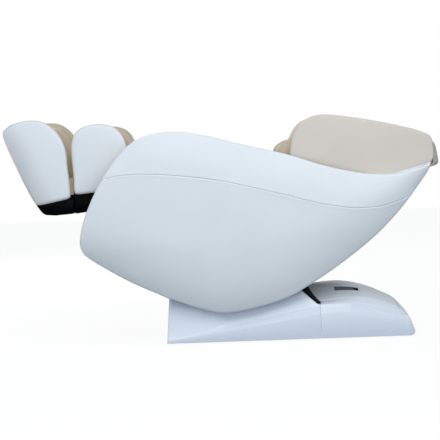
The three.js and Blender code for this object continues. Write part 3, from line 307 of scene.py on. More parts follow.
def grid_faces(rows, columns, first=0, closed=False):
    """Quads over a grid of points. A closed grid joins its last column to its first."""
    faces = []
    for r in range(rows - 1):
        for c in range(columns if closed else columns - 1):
            a = first + r * columns + c
            b = first + r * columns + (c + 1) % columns
            faces.append((a, b, b + columns, a + columns))
    return faces


def lofted(name, rings, material, smooth=40, poles=False):
    """A closed skin over rings of equal counts. Its ends are flat, or gathered to one point each."""
    rings = np.asarray(rings, float)
    rows, columns = rings.shape[:2]
    points = rings.reshape(-1, 3)
    faces = grid_faces(rows, columns, closed=True)
    if poles:
        points = np.vstack([points, rings[0].mean(axis=0), rings[-1].mean(axis=0)])
        for c in range(columns):
            after = (c + 1) % columns
            last = (rows - 1) * columns
            faces.append((after, c, rows * columns))
            faces.append((last + c, last + after, rows * columns + 1))
    else:
        faces.append(tuple(range(columns))[::-1])
        faces.append(tuple(range((rows - 1) * columns, rows * columns)))
    return meshed(name, points, faces, material, smooth)


def mirrored_piece(piece, name):
    """The same piece on the sitter's right."""
    mesh = piece.data.copy()
    mesh.name = name
    mesh.transform(Matrix.Scale(-1, 4, (0, 1, 0)))
    mesh.flip_normals()
    return in_scene(name, mesh)


def settle(piece, body, slot, *nodes, fill=None):
    """Fixes a finished piece on its body and hides the nodes it stands for."""
    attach(piece, body)
    if nodes:
        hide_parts(*nodes)


def settle_pair(piece, body, slot, node, fill=None):
    """Settles a left piece and its mirror image. Node and piece names have their side first."""
    twin = mirrored_piece(piece, piece.name.replace("left", "right"))
    settle(piece, body, slot, *([node] if node else []), fill=fill)
    settle(twin, body, slot, *([node.replace("left", "right")] if node else []), fill=fill)


def shaded(colour, share):
    """A darker colour."""
    return tuple(c * share for c in colour[:3]) + (1.0,)


def painted(name, nodes, links, **surface):
    """A material from plain values of its shader, nodes and links. The node "where" gives coordinates."""
    material = bpy.data.materials.new(name)
    material.use_nodes = True
    tree = material.node_tree
    shader = tree.nodes["Principled BSDF"]
    for socket, value in surface.items():
        shader.inputs[socket.replace("_", " ")].default_value = value
    wire_up(tree, {"shader": shader}, {"where": ("TexCoord", {}), **nodes}, links)
    return material


def mixed(**ends):
    """A node that mixes two colours, slots 6 and 7."""
    return "Mix", dict(data_type="RGBA", **ends)


def bumps(strength, distance):
    return "Bump", dict(Strength=strength, Distance=distance)


def noise(scale, detail, roughness=0.5):
    return "TexNoise", dict(Scale=scale, Detail=detail, Roughness=roughness)


def leather(name, colour, roughness=0.47, pore=0.0014, relief=0.00025):
    """Synthetic leather: fine pebbled pores, slightly uneven foam below, a faint drift in colour.

    Its colour is painted up to a quarter darker, as painted shade, where a mesh carries a painted-shade
    attribute, from 0 to 1.
    """
    return painted(name, {
        "pores": ("TexVoronoi", dict(feature="DISTANCE_TO_EDGE", Scale=1 / pore)),
        "pebble": ("MapRange", dict(interpolation_type="SMOOTHSTEP", From_Max=0.22)),
        "uneven": noise(38.0, 3.0, 0.55),
        "broad": noise(4.0, 2.0),
        "soft": bumps(0.5, 0.0010),
        "fine": bumps(0.4, relief),
        "drift": ("MapRange", dict(From_Min=0.35, From_Max=0.65)),
        "paint": mixed(slot_6=colour, slot_7=shaded(colour, 0.96)),
        "dirt": mixed(slot_6=shaded(colour, 0.92)),
        "gloss": ("MapRange", dict(From_Min=0.3, From_Max=0.7, To_Min=roughness - 0.05,
                                   To_Max=roughness + 0.07)),
        # Painted shade: a darker copy of the colour, mixed in by the mesh's painted-shade attribute.
        "grime": ("Attribute", dict(attribute_name="grime")),
        "handled": mixed(slot_7=shaded(colour, 0.74)),
    }, [
        "where.Object > pores.Vector", "where.Object > uneven.Vector", "where.Object > broad.Vector",
        "pores.Distance > pebble.Value", "pebble.Result > fine.Height", "uneven.Fac > soft.Height",
        "soft.Normal > fine.Normal", "fine.Normal > shader.Normal", "broad.Fac > drift.Value",
        "drift.Result > paint.0", "pebble.Result > dirt.0", "paint.2 > dirt.7", "grime.Fac > handled.0",
        "dirt.2 > handled.6", "handled.2 > shader.Base Color", "uneven.Fac > gloss.Value",
        "gloss.Result > shader.Roughness"], Specular_IOR_Level=0.42)


def thread(name, colour):
    """Twisted sewing thread: a fine diagonal lay, dull."""
    return painted(name, {
        "lay": ("TexWave", dict(Scale=900.0, Distortion=0.6, bands_direction="DIAGONAL")),
        "bump": bumps(0.4, 0.0001),
    }, ["where.Object > lay.Vector", "lay.Fac > bump.Height", "bump.Normal > shader.Normal"],
        Base_Color=colour, Roughness=0.7)


def stitch_tree():
    """A row of short thread lengths along a seam line."""
    tree = bpy.data.node_groups.new("stitch_row", "GeometryNodeTree")
    for label, kind in (("Seam", "Geometry"), ("Pitch", "Float"), ("Length", "Float"), ("Thickness", "Float"),
                        ("Thread", "Material")):
        tree.interface.new_socket(label, in_out="INPUT", socket_type="NodeSocket" + kind)
    tree.interface.new_socket("Geometry", in_out="OUTPUT", socket_type="NodeSocketGeometry")
    wire_up(tree, {}, {
        "given": ("NodeGroupInput", {}),
        "line": ("GeometryNodeMeshToCurve", {}),
        "steps": ("GeometryNodeResampleCurve", dict(mode="LENGTH")),
        "heading": ("GeometryNodeInputTangent", {}),
        "turn": ("FunctionNodeAlignRotationToVector", dict(axis="Z")),
        "bead": ("GeometryNodeMeshUVSphere", dict(Segments=6, Rings=5, Radius=0.5)),
        "size": ("CombineXYZ", {}),
        "stretch": ("GeometryNodeTransform", {}),
        "row": ("GeometryNodeInstanceOnPoints", {}),
        "real": ("GeometryNodeRealizeInstances", {}),
        "smooth": ("GeometryNodeSetShadeSmooth", {}),
        "dress": ("GeometryNodeSetMaterial", {}),
        "result": ("NodeGroupOutput", {}),
    }, [
        "given.Seam > line.0", "line.0 > steps.0", "given.Pitch > steps.Length", "steps.0 > row.0",
        "heading.0 > turn.Vector", "turn.0 > row.Rotation", "given.Thickness > size.X",
        "given.Thickness > size.Y", "given.Length > size.Z", "bead.0 > stretch.0", "size.0 > stretch.Scale",
        "stretch.0 > row.Instance", "row.0 > real.0", "real.0 > smooth.0", "smooth.0 > dress.0",
        "given.Thread > dress.Material", "dress.0 > result.0"])
    return tree


def modified(piece, kind, **values):
    """Puts a modifier with its values on a piece."""
    modifier = piece.modifiers.new(kind.lower(), kind)
    for key, value in values.items():
        setattr(modifier, key, value)
    return modifier


def bake(piece):
    """Turns a piece and its modifiers into a plain mesh."""
    shape = bpy.data.meshes.new_from_object(piece.evaluated_get(bpy.context.evaluated_depsgraph_get()))
    piece.modifiers.clear()
    piece.data = shape


def laid_on(piece, starts, direction, lift=0.0003):
    """Points in metres where lines from the starts, in millimetres, meet a piece, raised a little."""
    mesh = piece.data
    tree = BVHTree.FromPolygons([v.co for v in mesh.vertices], [p.vertices for p in mesh.polygons])
    found = []
    for start in np.asarray(starts, float) / 1000:
        place, normal, _, _ = tree.ray_cast(Vector(start), Vector(direction))
        if place is not None:
            found.append(place + normal * lift)
    return found


STITCH_ROW = stitch_tree()
WHITE_LEATHER = leather("white_leather", srgb(225, 230, 235))
WHITE_THREAD = thread("white_thread", srgb(214, 220, 227))


def stitched(name, paths, body, slot, material, pitch=0.0045, length=0.0036, thickness=0.0008):
    """Rows of stitches along paths in metres, fixed on a body."""
    points = []
    edges = []
    for path in paths:
        edges.extend((i, i + 1) for i in range(len(points), len(points) + len(path) - 1))
        points.extend(tuple(p) for p in path)
    seams = bpy.data.meshes.new(name)
    seams.from_pydata(points, edges, [])
    row = in_scene(name, seams)
    modifier = modified(row, "NODES", node_group=STITCH_ROW)
    given = {"Pitch": pitch, "Length": length, "Thickness": thickness, "Thread": material}
    for item in STITCH_ROW.interface.items_tree:
        if item.name in given:
            modifier[item.identifier] = given[item.name]
    bake(row)
    settle(row, body, slot)


arc = [(CRADLE[0] + SHELL_ARC * cos(a), CRADLE[1] + SHELL_ARC * sin(a))
       for a in np.radians(np.linspace(-119, -64, 90))]
top_edge = curve_through([HEAD_TIP, *ARM_EDGE, on_cradle(SHELL_ARC, 29)])
outline = np.vstack([top_edge[:-1], arc[:-1], curve_through([arc[-1], *BACK_EDGE])[:-1]])
outline = spaced(np.vstack([outline, outline[:1]]), 1801)[:-1]
low = outline[:, 1] < 230
hang = swelling(outline[:, 0], 11, -22, 85) + swelling(outline[:, 0], -3, -200, 50)
outline[low, 1] -= hang[low]
seam = curve_through(SEAM)


def nearest(points, target):
    return int(np.argmin(np.linalg.norm(points - np.asarray(target), axis=1)))


seam_front = nearest(outline, seam[0])
seam_rear = 900 + nearest(outline[900:], seam[-1])
seam[0] = outline[seam_front]
seam[-1] = outline[seam_rear]

# The dome falls away to this outline, which passes over the concave head end of the real edge.
over_head = nearest(outline[:900], HIGH_END[-1])
egg = np.vstack([spaced(curve_through([HEAD_TIP, *HIGH_END]), over_head + 1)[:-1], outline[over_head:]])
# How far each part of the edge faces down: the shell tucks under there and is rounder.
offset = egg - SHELL_CENTRE
edge_angle = np.arctan2(offset[:, 1], offset[:, 0])
edge_reach = np.linalg.norm(offset, axis=1)
heading = np.roll(egg, -1, axis=0) - np.roll(egg, 1, axis=0)
rise = -heading[:, 0] / np.linalg.norm(heading, axis=1)
tuck = np.clip((0.35 - rise) / 1.2, 0, 1)
order = np.argsort(edge_angle)
around = np.linspace(-pi, pi, 1440, endpoint=False)


def evened(values, span):
    """Values of the edge at even angles about the middle, averaged over a span for soft corners."""
    even = np.interp(around, edge_angle[order], values[order], period=2 * pi)
    window = np.hanning(2 * span + 3)[1:-1]
    return np.convolve(np.concatenate([even[-span:], even, even[:span]]), window / window.sum(), "valid")


edge_reach = evened(edge_reach, 26)
edge_tuck = evened(tuck, 40)


def shell_depth(xz, from_edge, from_seam):
    """How far out the shell's face stands at points of its side view."""
    away = xz - SHELL_CENTRE
    angle = np.arctan2(away[:, 1], away[:, 0])
    reach = np.interp(angle, around, edge_reach, period=2 * pi)
    under = np.interp(angle, around, edge_tuck, period=2 * pi)
    s = (reach - np.linalg.norm(away, axis=1)) / (DOME_RUN + (DOME_RUN_BELOW - DOME_RUN) * under)
    s = np.minimum(0.5 * (s + np.sqrt(s * s + 0.004)), 1)
    dome = (1 - (1 - s) ** 2.3) ** (0.95 - 0.38 * under)
    edge = RIM_FACE - (RIM_FACE - RIM_FACE_BELOW) * under
    near = np.clip(1 - from_edge / EDGE_ROUND, 0, 1)
    rounding = EDGE_ROUND * (np.sqrt(1 - near ** 2) - 1)
    groove = swelling(from_seam, -SEAM_DEPTH, 0, SEAM_WIDTH) + swelling(from_seam, 0.5, 7, 5)
    return edge + (SHELL_FACE - edge) * dome + rounding + groove, under


def cross(a, b):
    return np.abs(a[:, 0] * b[:, 1] - a[:, 1] * b[:, 0])


def panel_rows(seam_line, edge_line, rows, crowding, lean=0.0):
    """One leather panel as rows of points from the seam to the edge and round it.

    The lean is how far its edge stands in behind the dome, for each column.
    """
    spread = edge_line - seam_line
    width = np.linalg.norm(spread, axis=1)
    lean_seam = np.maximum(cross(unit(spread), unit(np.gradient(seam_line, axis=0))), 0.2)
    lean_edge = np.maximum(cross(unit(spread), unit(np.gradient(edge_line, axis=0))), 0.2)
    made = []
    for v in 0.5 + 0.5 * np.tanh(crowding * np.linspace(-1, 1, rows)) / np.tanh(crowding):
        xz = seam_line + spread * v
        depth, under = shell_depth(xz, width * (1 - v) * lean_edge, width * v * lean_seam)
        depth = depth - lean * v ** 1.5
        made.append(np.column_stack([xz[:, 0], -depth, xz[:, 1]]))
    turned_in = 45 - 15 * eased(xz[:, 0], -285, -335)
    rim = np.minimum(RIM_INSIDE - turned_in * under, depth - HEM)
    for t in (0.25, 0.6, 1.0):
        made.append(np.column_stack([xz[:, 0], -(depth + (rim - depth) * t), xz[:, 1]]))
    return made


ARM_COLUMNS = 250
TIP_COLUMNS = 26
TIP_SHARE = 0.06
share = np.concatenate([np.linspace(0, 1 - TIP_SHARE, ARM_COLUMNS + 1),
                        np.linspace(1 - TIP_SHARE, 1, TIP_COLUMNS + 1)[1:]])
seam_line = along(seam, share)
over_arm = spaced(outline[:seam_front + 1][::-1], ARM_COLUMNS + 1)
round_tip = spaced(np.vstack([outline[:1], outline[seam_rear:][::-1]]), TIP_COLUMNS + 1)
upper_edge = np.vstack([over_arm, round_tip[1:]])
lower_edge = along(outline[seam_front:seam_rear + 1], share)
upper_width = np.linalg.norm(upper_edge - seam_line, axis=1)
lean = 9 + 19 * eased(upper_edge[:, 0], 30, 290) - 18 * eased(upper_edge[:, 0], 590, 790)
upper = panel_rows(seam_line, upper_edge, 40, 1.8, lean * eased(upper_width, 0, 90))
lower = panel_rows(seam_line, lower_edge, 66, 2.2)
columns = len(share)
points = np.vstack(upper + lower)
faces = grid_faces(len(upper), columns)
faces += [f[::-1] for f in grid_faces(len(lower), columns, first=len(upper) * columns)]
rim_loop = np.vstack([lower[-1], upper[-1][-2:0:-1]])
inner_rings = []
for inset, fraction, depth in ((0, 0, 0), (HEM, 0, 0), (HEM, 0, 1), (HEM, 0.3, 1), (HEM, 0.8, 1)):
    away = rim_loop[:, [0, 2]] - SHELL_CENTRE
    reach = np.linalg.norm(away, axis=1, keepdims=True)
    xz = SHELL_CENTRE + away * (1 - inset / reach) * (1 - fraction)
    face, _ = shell_depth(xz, np.full(len(xz), 99.0), np.full(len(xz), 99.0))
    y = rim_loop[:, 1] * (1 - depth) - np.maximum(face - SHELL_THICKNESS, WALL_INSIDE) * depth
    inner_rings.append(np.column_stack([xz[:, 0], y, xz[:, 1]]))
first = len(points)
loop = len(rim_loop)
deepest = [SHELL_CENTRE[0], SHELL_THICKNESS - SHELL_FACE, SHELL_CENTRE[1]]
points = np.vstack([points, *inner_rings, [deepest]])
faces += grid_faces(len(inner_rings), loop, first=first, closed=True)
last_ring = first + (len(inner_rings) - 1) * loop
faces += [(last_ring + i, last_ring + (i + 1) % loop, len(points) - 1) for i in range(loop)]
left_shell = meshed("left_shell_leather", points, faces, WHITE_LEATHER, smooth=50)
below = seam_line[6:-8] - [0, 5.5]
shell_row = laid_on(left_shell, [(x, -600, z) for x, z in below], (0, 1, 0))
stitched("left_shell_topstitch", [shell_row], "pod", "shell_leather", WHITE_THREAD)
right_row = [(p.x, -p.y, p.z) for p in shell_row]
stitched("right_shell_topstitch", [right_row], "pod", "shell_leather", WHITE_THREAD)
settle_pair(left_shell, "pod", "shell_leather", "left_side_shell")

# ---- Head wings ----
# Two stiff foam wings beside the head stand inside the shells. They are covered with taupe synthetic
# leather, pulled tight over a rounded edge, with a welt of the same leather sewn in on the sitter's side.
WING = [
    (258, 740), (264, 780), (280, 825), (309, 872), (352, 901), (425, 906), (576, 881), (726, 846),
    (800, 822), (830, 803), (838, 765), (836, 712), (812, 692), (760, 664), (650, 640), (540, 650),
    (392, 684), (300, 712), (268, 724)]
WING_CENTRE = (545, 770)
WING_INSIDE, WING_OUTSIDE = 249, 285
WELT_RADIUS = 2.4


def closed_outline(points, count):
    """Evenly spaced points round a closed outline."""
    return spaced(curve_through([*points, points[0]]), count + 1)[:-1]


def at_depth(xz, y):
    """Points of the left side's view as points in space, at one depth."""
    return np.column_stack([xz[:, 0], np.full(len(xz), -y), xz[:, 1]])


def domed_pad(name, edge_line, centre, y_inner, y_outer, rounding, crown, material):
    """A pad that stands in the side view: round edge, crowned outer face, nearly flat inner face."""
    centre = np.array(centre, float)
    away = edge_line - centre
    reach = np.linalg.norm(away, axis=1)
    middle = (y_inner + y_outer - crown) / 2
    half = (y_outer - crown - y_inner) / 2
    rings = []
    depths = [0.95, 0.8, 0.62, 0.45, 0.3, 0.2, 0.13, 0.085, 0.055, 0.035, 0.02, 0.01, 0.0035]
    for side, steps in ((-1, depths), (1, [0.0, *depths[::-1]])):
        for f in steps:
            near = np.clip(1 - f * reach / rounding, 0, 1)
            swell = crown * (1 - (1 - f) ** 2.2) * (1 if side > 0 else 0.3)
            y = middle + side * (half * np.sqrt(1 - near ** 2) + swell)
            xz = centre + away * (1 - f)
            rings.append(np.column_stack([xz[:, 0], -y, xz[:, 1]]))
    return lofted(name, rings, material, poles=True)


def tube(name, line, radius, material, sides=8, closed=True):
    """A round cord or pipe along points in millimetres."""
    line = np.asarray(line, float)
    ahead = np.roll(line, -1, axis=0) - np.roll(line, 1, axis=0)
    if not closed:
        ahead[0] = line[1] - line[0]
        ahead[-1] = line[-1] - line[-2]
    ahead = unit(ahead)
    side = unit(np.cross(ahead, np.where(np.abs(ahead[:, 1:2]) < 0.9, [[0, 1, 0]], [[1, 0, 0]])))
    normal = np.cross(side, ahead)
    turns = np.arange(sides) * 2 * pi / sides
    rings = [line[i] + radius * (np.outer(np.cos(turns), side[i]) + np.outer(np.sin(turns), normal[i]))
             for i in range(len(line))]
    if not closed:
        return lofted(name, rings, material, poles=True)
    points = np.concatenate(rings)
    faces = grid_faces(len(rings), sides, closed=True)
    last = (len(rings) - 1) * sides
    faces += [(last + c, last + (c + 1) % sides, (c + 1) % sides, c) for c in range(sides)]
    return meshed(name, points, faces, material)


def points_of(piece):
    """Every point of a piece in millimetres."""
    points = np.empty(len(piece.data.vertices) * 3)
    piece.data.vertices.foreach_get("co", points)
    return points.reshape(-1, 3) * 1000


def outward_of(piece):
    """The way out of a piece at every point."""
    return np.array([n.vector[:] for n in piece.data.vertex_normals])


def move_points(piece, points):
    """Moves every point of a piece, in millimetres."""
    piece.data.vertices.foreach_set("co", (points / 1000).ravel())
    piece.data.update()


def shift_across(piece, new_y):
    """Moves a piece's points across the chair to where a function of them says."""
    points = points_of(piece)
    points[:, 1] = new_y(points)
    move_points(piece, points)


def thinned(inside, share, start, full):
    """Brings a left pad's points nearer to its inner face by a share, from a start along the chair."""
    return lambda p: -inside + (p[:, 1] + inside) * (1 - share * eased(p[:, 0], start, full))


TAUPE_LEATHER = leather("taupe_leather", srgb(211, 202, 194), roughness=0.52)
wing_edge = closed_outline(WING, 260)
wing = domed_pad("left_wing_pad", wing_edge, WING_CENTRE, WING_INSIDE, WING_OUTSIDE, 9, 8, TAUPE_LEATHER)
shift_across(wing, thinned(WING_INSIDE, 0.62, 600, 840))
settle_pair(wing, "pod", "hood_leather", "left_head_wing", fill=0.9)
welt_line = wing_edge + 5 * unit(np.array(WING_CENTRE) - wing_edge)
welt = tube("left_wing_welt", at_depth(welt_line, WING_INSIDE + 3.5), WELT_RADIUS, TAUPE_LEATHER)
settle_pair(welt, "pod", "hood_leather", None)

# ---- Shoulder pads ----
# An air bag in soft beige leather at each shoulder, blown up by the pump. Its cover is gathered by a seam
# down its middle.


def joined_copy(node, name, material):
    """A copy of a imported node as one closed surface."""
    mesh = frame["nodes"][node].data.copy()
    reworked(mesh, merge_doubles)
    mesh.name = name
    return new_piece(name, mesh, material)


CLOTH_FRAMES = 20


def stuffed(piece, voxel=5.0, shrink=3.0, limit=9.0, pressure=4.0, smooth=10):
    """Padding: an even skin a little smaller than its space, blown up as cloth, its movement capped."""
    modified(piece, "REMESH", mode="VOXEL", voxel_size=voxel / 1000)
    modified(piece, "SMOOTH", factor=0.5, iterations=smooth)
    bake(piece)
    outward = outward_of(piece)
    start = points_of(piece) - outward * shrink
    move_points(piece, start)
    cloth = modified(piece, "CLOTH")
    cloth.settings.effector_weights.gravity = 0
    cloth.settings.use_pressure = True
    cloth.settings.uniform_pressure_force = pressure
    cloth.settings.quality = 3
    cloth.point_cache.frame_start = 1
    cloth.point_cache.frame_end = CLOTH_FRAMES
    for step in range(1, CLOTH_FRAMES + 1):
        scene.frame_set(step)
    bake(piece)
    scene.frame_set(1)
    moved = points_of(piece) - start
    length = np.maximum(np.linalg.norm(moved, axis=1, keepdims=True), 1e-6)
    move_points(piece, start + moved / length * limit * np.tanh(length / limit))
    modified(piece, "SUBSURF", levels=1, render_levels=1)
    bake(piece)
    piece.data.shade_smooth()


def sewn(piece, facing, seams, depth=6.0, width=4.5, pucker=0.9):
    """Draws a padded face in along its seams, each a pair of functions: distance from it, run along it."""
    points = points_of(piece)
    outward = outward_of(piece)
    toward = np.clip((outward @ np.asarray(facing, float) - 0.1) / 0.35, 0, 1)
    dip = np.zeros(len(points))
    for distance, run in seams:
        d = distance(points)
        sharp = np.exp(-(np.abs(d) / width) ** 1.6)
        broad = swelling(d, 1, 0, width * 5)
        fold = 0.5 + 0.5 * np.sin(run(points) * 0.42 + 1.7 * np.sin(run(points) * 0.11))
        dip = np.maximum(dip, depth * (0.62 * sharp + 0.38 * broad) + pucker * fold * broad * (1 - sharp))
    move_points(piece, points - outward * (dip * toward)[:, None])


BEIGE_LEATHER = leather("beige_leather", srgb(190, 177, 154), roughness=0.52)
BEIGE_THREAD = thread("beige_thread", srgb(214, 204, 184))
SHOULDER = [
    (200, 760), (211, 786), (238, 807), (275, 819), (318, 805), (338, 760), (330, 690), (318, 610),
    (300, 560), (262, 548), (226, 575), (208, 640), (200, 706)]
shoulder = domed_pad("left_shoulder_bag", closed_outline(SHOULDER, 120), centre=(268, 690), y_inner=181,
                     y_outer=241, rounding=26, crown=8, material=BEIGE_LEATHER)
stuffed(shoulder, voxel=4.0, shrink=2.0, limit=4.0)
sewn(shoulder, (0, 1, 0), [(lambda p: p[:, 0] - 234 - 0.12 * (p[:, 2] - 770), lambda p: p[:, 2])], depth=8)
settle_pair(shoulder, "pod", "lining_leather", "left_shoulder_pad", fill=0.8)

# ---- Arm pads ----
# The inside of each arm: foam and air bags under beige leather on the shell's inner wall. Its rolled top
# shows as a thin line above the shell's edge.
ARM_PAD = [
    (228, 765), (52, 809), (-82, 846), (-203, 864), (-325, 848), (-405, 793), (-484, 678), (-538, 560),
    (-556, 470), (-520, 405), (-380, 335), (-160, 285), (60, 275), (300, 325), (520, 455), (690, 600),
    (752, 655), (690, 632), (560, 622), (420, 650), (300, 692), (238, 722), (230, 745)]
ARM_PAD_INSIDE, ARM_PAD_OUTSIDE = 246.5, 294


def slab(name, edge_line, y_inner, y_outer, material):
    """A plain slab of an outline in the side view, to be stuffed."""
    return lofted(name, [at_depth(edge_line, y) for y in (y_inner, y_outer)], material)


arm_pad = slab("left_arm_padding", closed_outline(ARM_PAD, 300), 250, 291, BEIGE_LEATHER)
stuffed(arm_pad, voxel=9.0, shrink=0.5, limit=5.0, smooth=3)
shift_across(arm_pad, lambda p: np.clip(p[:, 1], -ARM_PAD_OUTSIDE, -ARM_PAD_INSIDE))
hand_seam = (lambda p: p[:, 2] - 640 + 0.27 * (p[:, 0] + 100), lambda p: p[:, 0])
sewn(arm_pad, (0, 1, 0), [hand_seam], depth=5)
settle_pair(arm_pad, "pod", "lining_leather", "left_arm_pad", fill=0.7)

# ---- Seat cushion, back cushion and head pillow ----
# Foam cushions in beige leather, sewn into channels. The massage rollers run behind the back cushion, and
# the head pillow flips over the top of the back.
TRACK = (-475, 2426)
TRACK_ARC = 2100
BACK_FOOT, BACK_HEAD = 14.2, 36.4
SEAT_REAR, SEAT_FRONT = np.array((26, 388)), np.array((-390, 634))
seat_run = unit((SEAT_FRONT - SEAT_REAR)[None])[0]


def along_seat(p):
    return (p[:, [0, 2]] - SEAT_REAR) @ seat_run


def up_track(p):
    """Run along the back, in millimetres from straight below the track's centre."""
    return TRACK_ARC * np.arctan2(p[:, 0] - TRACK[0], TRACK[1] - p[:, 2])


def across(p):
    return p[:, 1]


seat = joined_copy("seat_cushion", "seat_padding", BEIGE_LEATHER)
stuffed(seat, voxel=7.0, shrink=5.0, limit=10.0)
seat_seams = [(lambda p, y=y: p[:, 1] - y * (1 + 0.0003 * along_seat(p)), along_seat) for y in (-95, 95)]
seat_seams += [(lambda p, s=s: along_seat(p) - s + 0.0006 * p[:, 1] ** 2, across) for s in (183, 338)]
sewn(seat, (-0.5, 0, 0.86), seat_seams, depth=8)
settle(seat, "pod", "lining_leather", "seat_cushion", fill=0.7)

back = joined_copy("back_cushion", "back_padding", BEIGE_LEATHER)
stuffed(back, voxel=7.0, shrink=5.0, limit=9.0)
back_start = TRACK_ARC * radians(BACK_FOOT)
back_length = TRACK_ARC * radians(BACK_HEAD - BACK_FOOT)
back_seams = [(lambda p, y=y: p[:, 1] - y, up_track) for y in (-70, 70)]
back_seams += [(lambda p, s=s: up_track(p) - back_start - s * back_length + 0.0008 * p[:, 1] ** 2, across)
               for s in (0.22, 0.4, 0.58)]
sewn(back, (-0.42, 0, 0.91), back_seams, depth=7)
settle(back, "pod", "lining_leather", "back_cushion", fill=0.7)

pillow = joined_copy("head_pillow", "head_pillow_padding", BEIGE_LEATHER)
stuffed(pillow, shrink=3.0, limit=6.0)
sewn(pillow, (-0.55, 0, 0.83), [(lambda p: up_track(p) - TRACK_ARC * radians(33.75), across)], depth=5)
settle(pillow, "pillow", "lining_leather", "head_pillow", fill=0.8)

# ---- Linings beside the cushions ----
# Leather-covered rolls are sewn on behind the seat cushion and past the back cushion's head end, and padded
# strips close the joints between the cushions and the arms.
STRIP_ARC = TRACK_ARC - 2
BACK_STRIP = [(TRACK[0] + STRIP_ARC * sin(radians(a)), TRACK[1] - STRIP_ARC * cos(radians(a)))
              for a in np.linspace(14.4, BACK_HEAD, 60)]
SEAT_STRIP = spaced(curve_through([(-382, 600), (-290, 532), (-180, 466), (-80, 410), (12, 362)]), 50)
STRIP_SECTION = [(-9, 234.5), (0, 234.5), (2.5, 237.5), (2.5, 242.5), (0, 245.5), (-9, 245.5)]
for word, line in (("seat", SEAT_STRIP), ("back", BACK_STRIP)):
    line = np.array(line)
    ahead = unit(np.gradient(line, axis=0))
    lift = np.column_stack([-ahead[:, 1], ahead[:, 0]])
    rings = [[(x + u[0] * h, -y, z + u[1] * h) for h, y in STRIP_SECTION] for (x, z), u in zip(line, lift)]
    strip = lofted(f"left_{word}_gusset", rings, BEIGE_LEATHER, smooth=50)
    settle_pair(strip, "pod", "lining_leather", None, fill=0.9)
crease_line = [(34 + 1.5 * sin(y / 37), y, 363 + 1.2 * sin(y / 23)) for y in np.linspace(-231, 231, 90)]
crease_roll = tube("crease_roll", crease_line, 9, BEIGE_LEATHER, sides=14, closed=False)
settle(crease_roll, "pod", "lining_leather", fill=0.9)
head_line = [(788 + 1.2 * sin(y / 41), y, 734 + sin(y / 29)) for y in np.linspace(-244, 244, 70)]
head_roll = tube("head_roll", head_line, 13, BEIGE_LEATHER, sides=18, closed=False)
settle(head_roll, "pod", "lining_leather", fill=0.9)

# ---- Back cover ----
# A leather-grained moulded cover closes the pod behind and curls over the head end in a soft roll.
BACK_OUTER = [
    (275, 226), (342, 262), (460, 335), (574, 420), (677, 518), (752, 607), (800, 660), (848, 678),
    (878, 684), (891, 693), (892, 708), (886, 742), (877, 774), (860, 789), (832, 797), (800, 797)]
BACK_INNER = [
    (798, 790), (830, 791), (855, 783), (870, 771), (879, 742), (885, 712), (884, 699), (874, 692),
    (844, 686), (795, 667), (747, 611), (673, 523), (570, 426), (457, 341), (340, 268), (273, 232)]
BACK_HALF = 241


def edged(piece, width, angle=35, segments=2, smooth=35):
    """Rounds a piece's edges and shades it smooth up to an angle."""
    modified(piece, "BEVEL", width=width / 1000, segments=segments, limit_method="ANGLE",
             angle_limit=radians(angle), use_clamp_overlap=False)
    bake(piece)
    piece.data.shade_smooth()
    piece.data.set_sharp_from_angle(angle=radians(smooth))


# Painted shade: the back cover is the taupe leather painted darker, for the shade that its roll at the head
# end sits in.
SHADED_TAUPE_LEATHER = leather("shaded_taupe_leather", srgb(190, 182, 170), roughness=0.55)
loop = np.vstack([spaced(curve_through(BACK_OUTER), 150), spaced(curve_through(BACK_INNER), 110)])
rings = []
for y in np.linspace(-BACK_HALF, BACK_HALF, 41):
    bow = 48 * np.clip((loop[:, 0] - 790) / 100, 0, 1) * (y / 240) ** 2
    rings.append(np.column_stack([loop[:, 0] - bow, np.full(len(loop), y), loop[:, 1]]))
back_cover = lofted("back_panel", rings, SHADED_TAUPE_LEATHER)
edged(back_cover, 2.0, angle=60)
settle(back_cover, "pod", "back_plastic", "back_cover")
hem = [[(x - 3, y, z + 4) for y in np.linspace(-232, 232, 120)] for x, z in ((790, 655), (300, 240))]
rows = [laid_on(back_cover, [(x + 40, y, z - 60) for x, y, z in line], (-0.55, 0, 0.83)) for line in hem]
stitched("back_panel_stitches", rows, "pod", "back_plastic", BEIGE_THREAD)

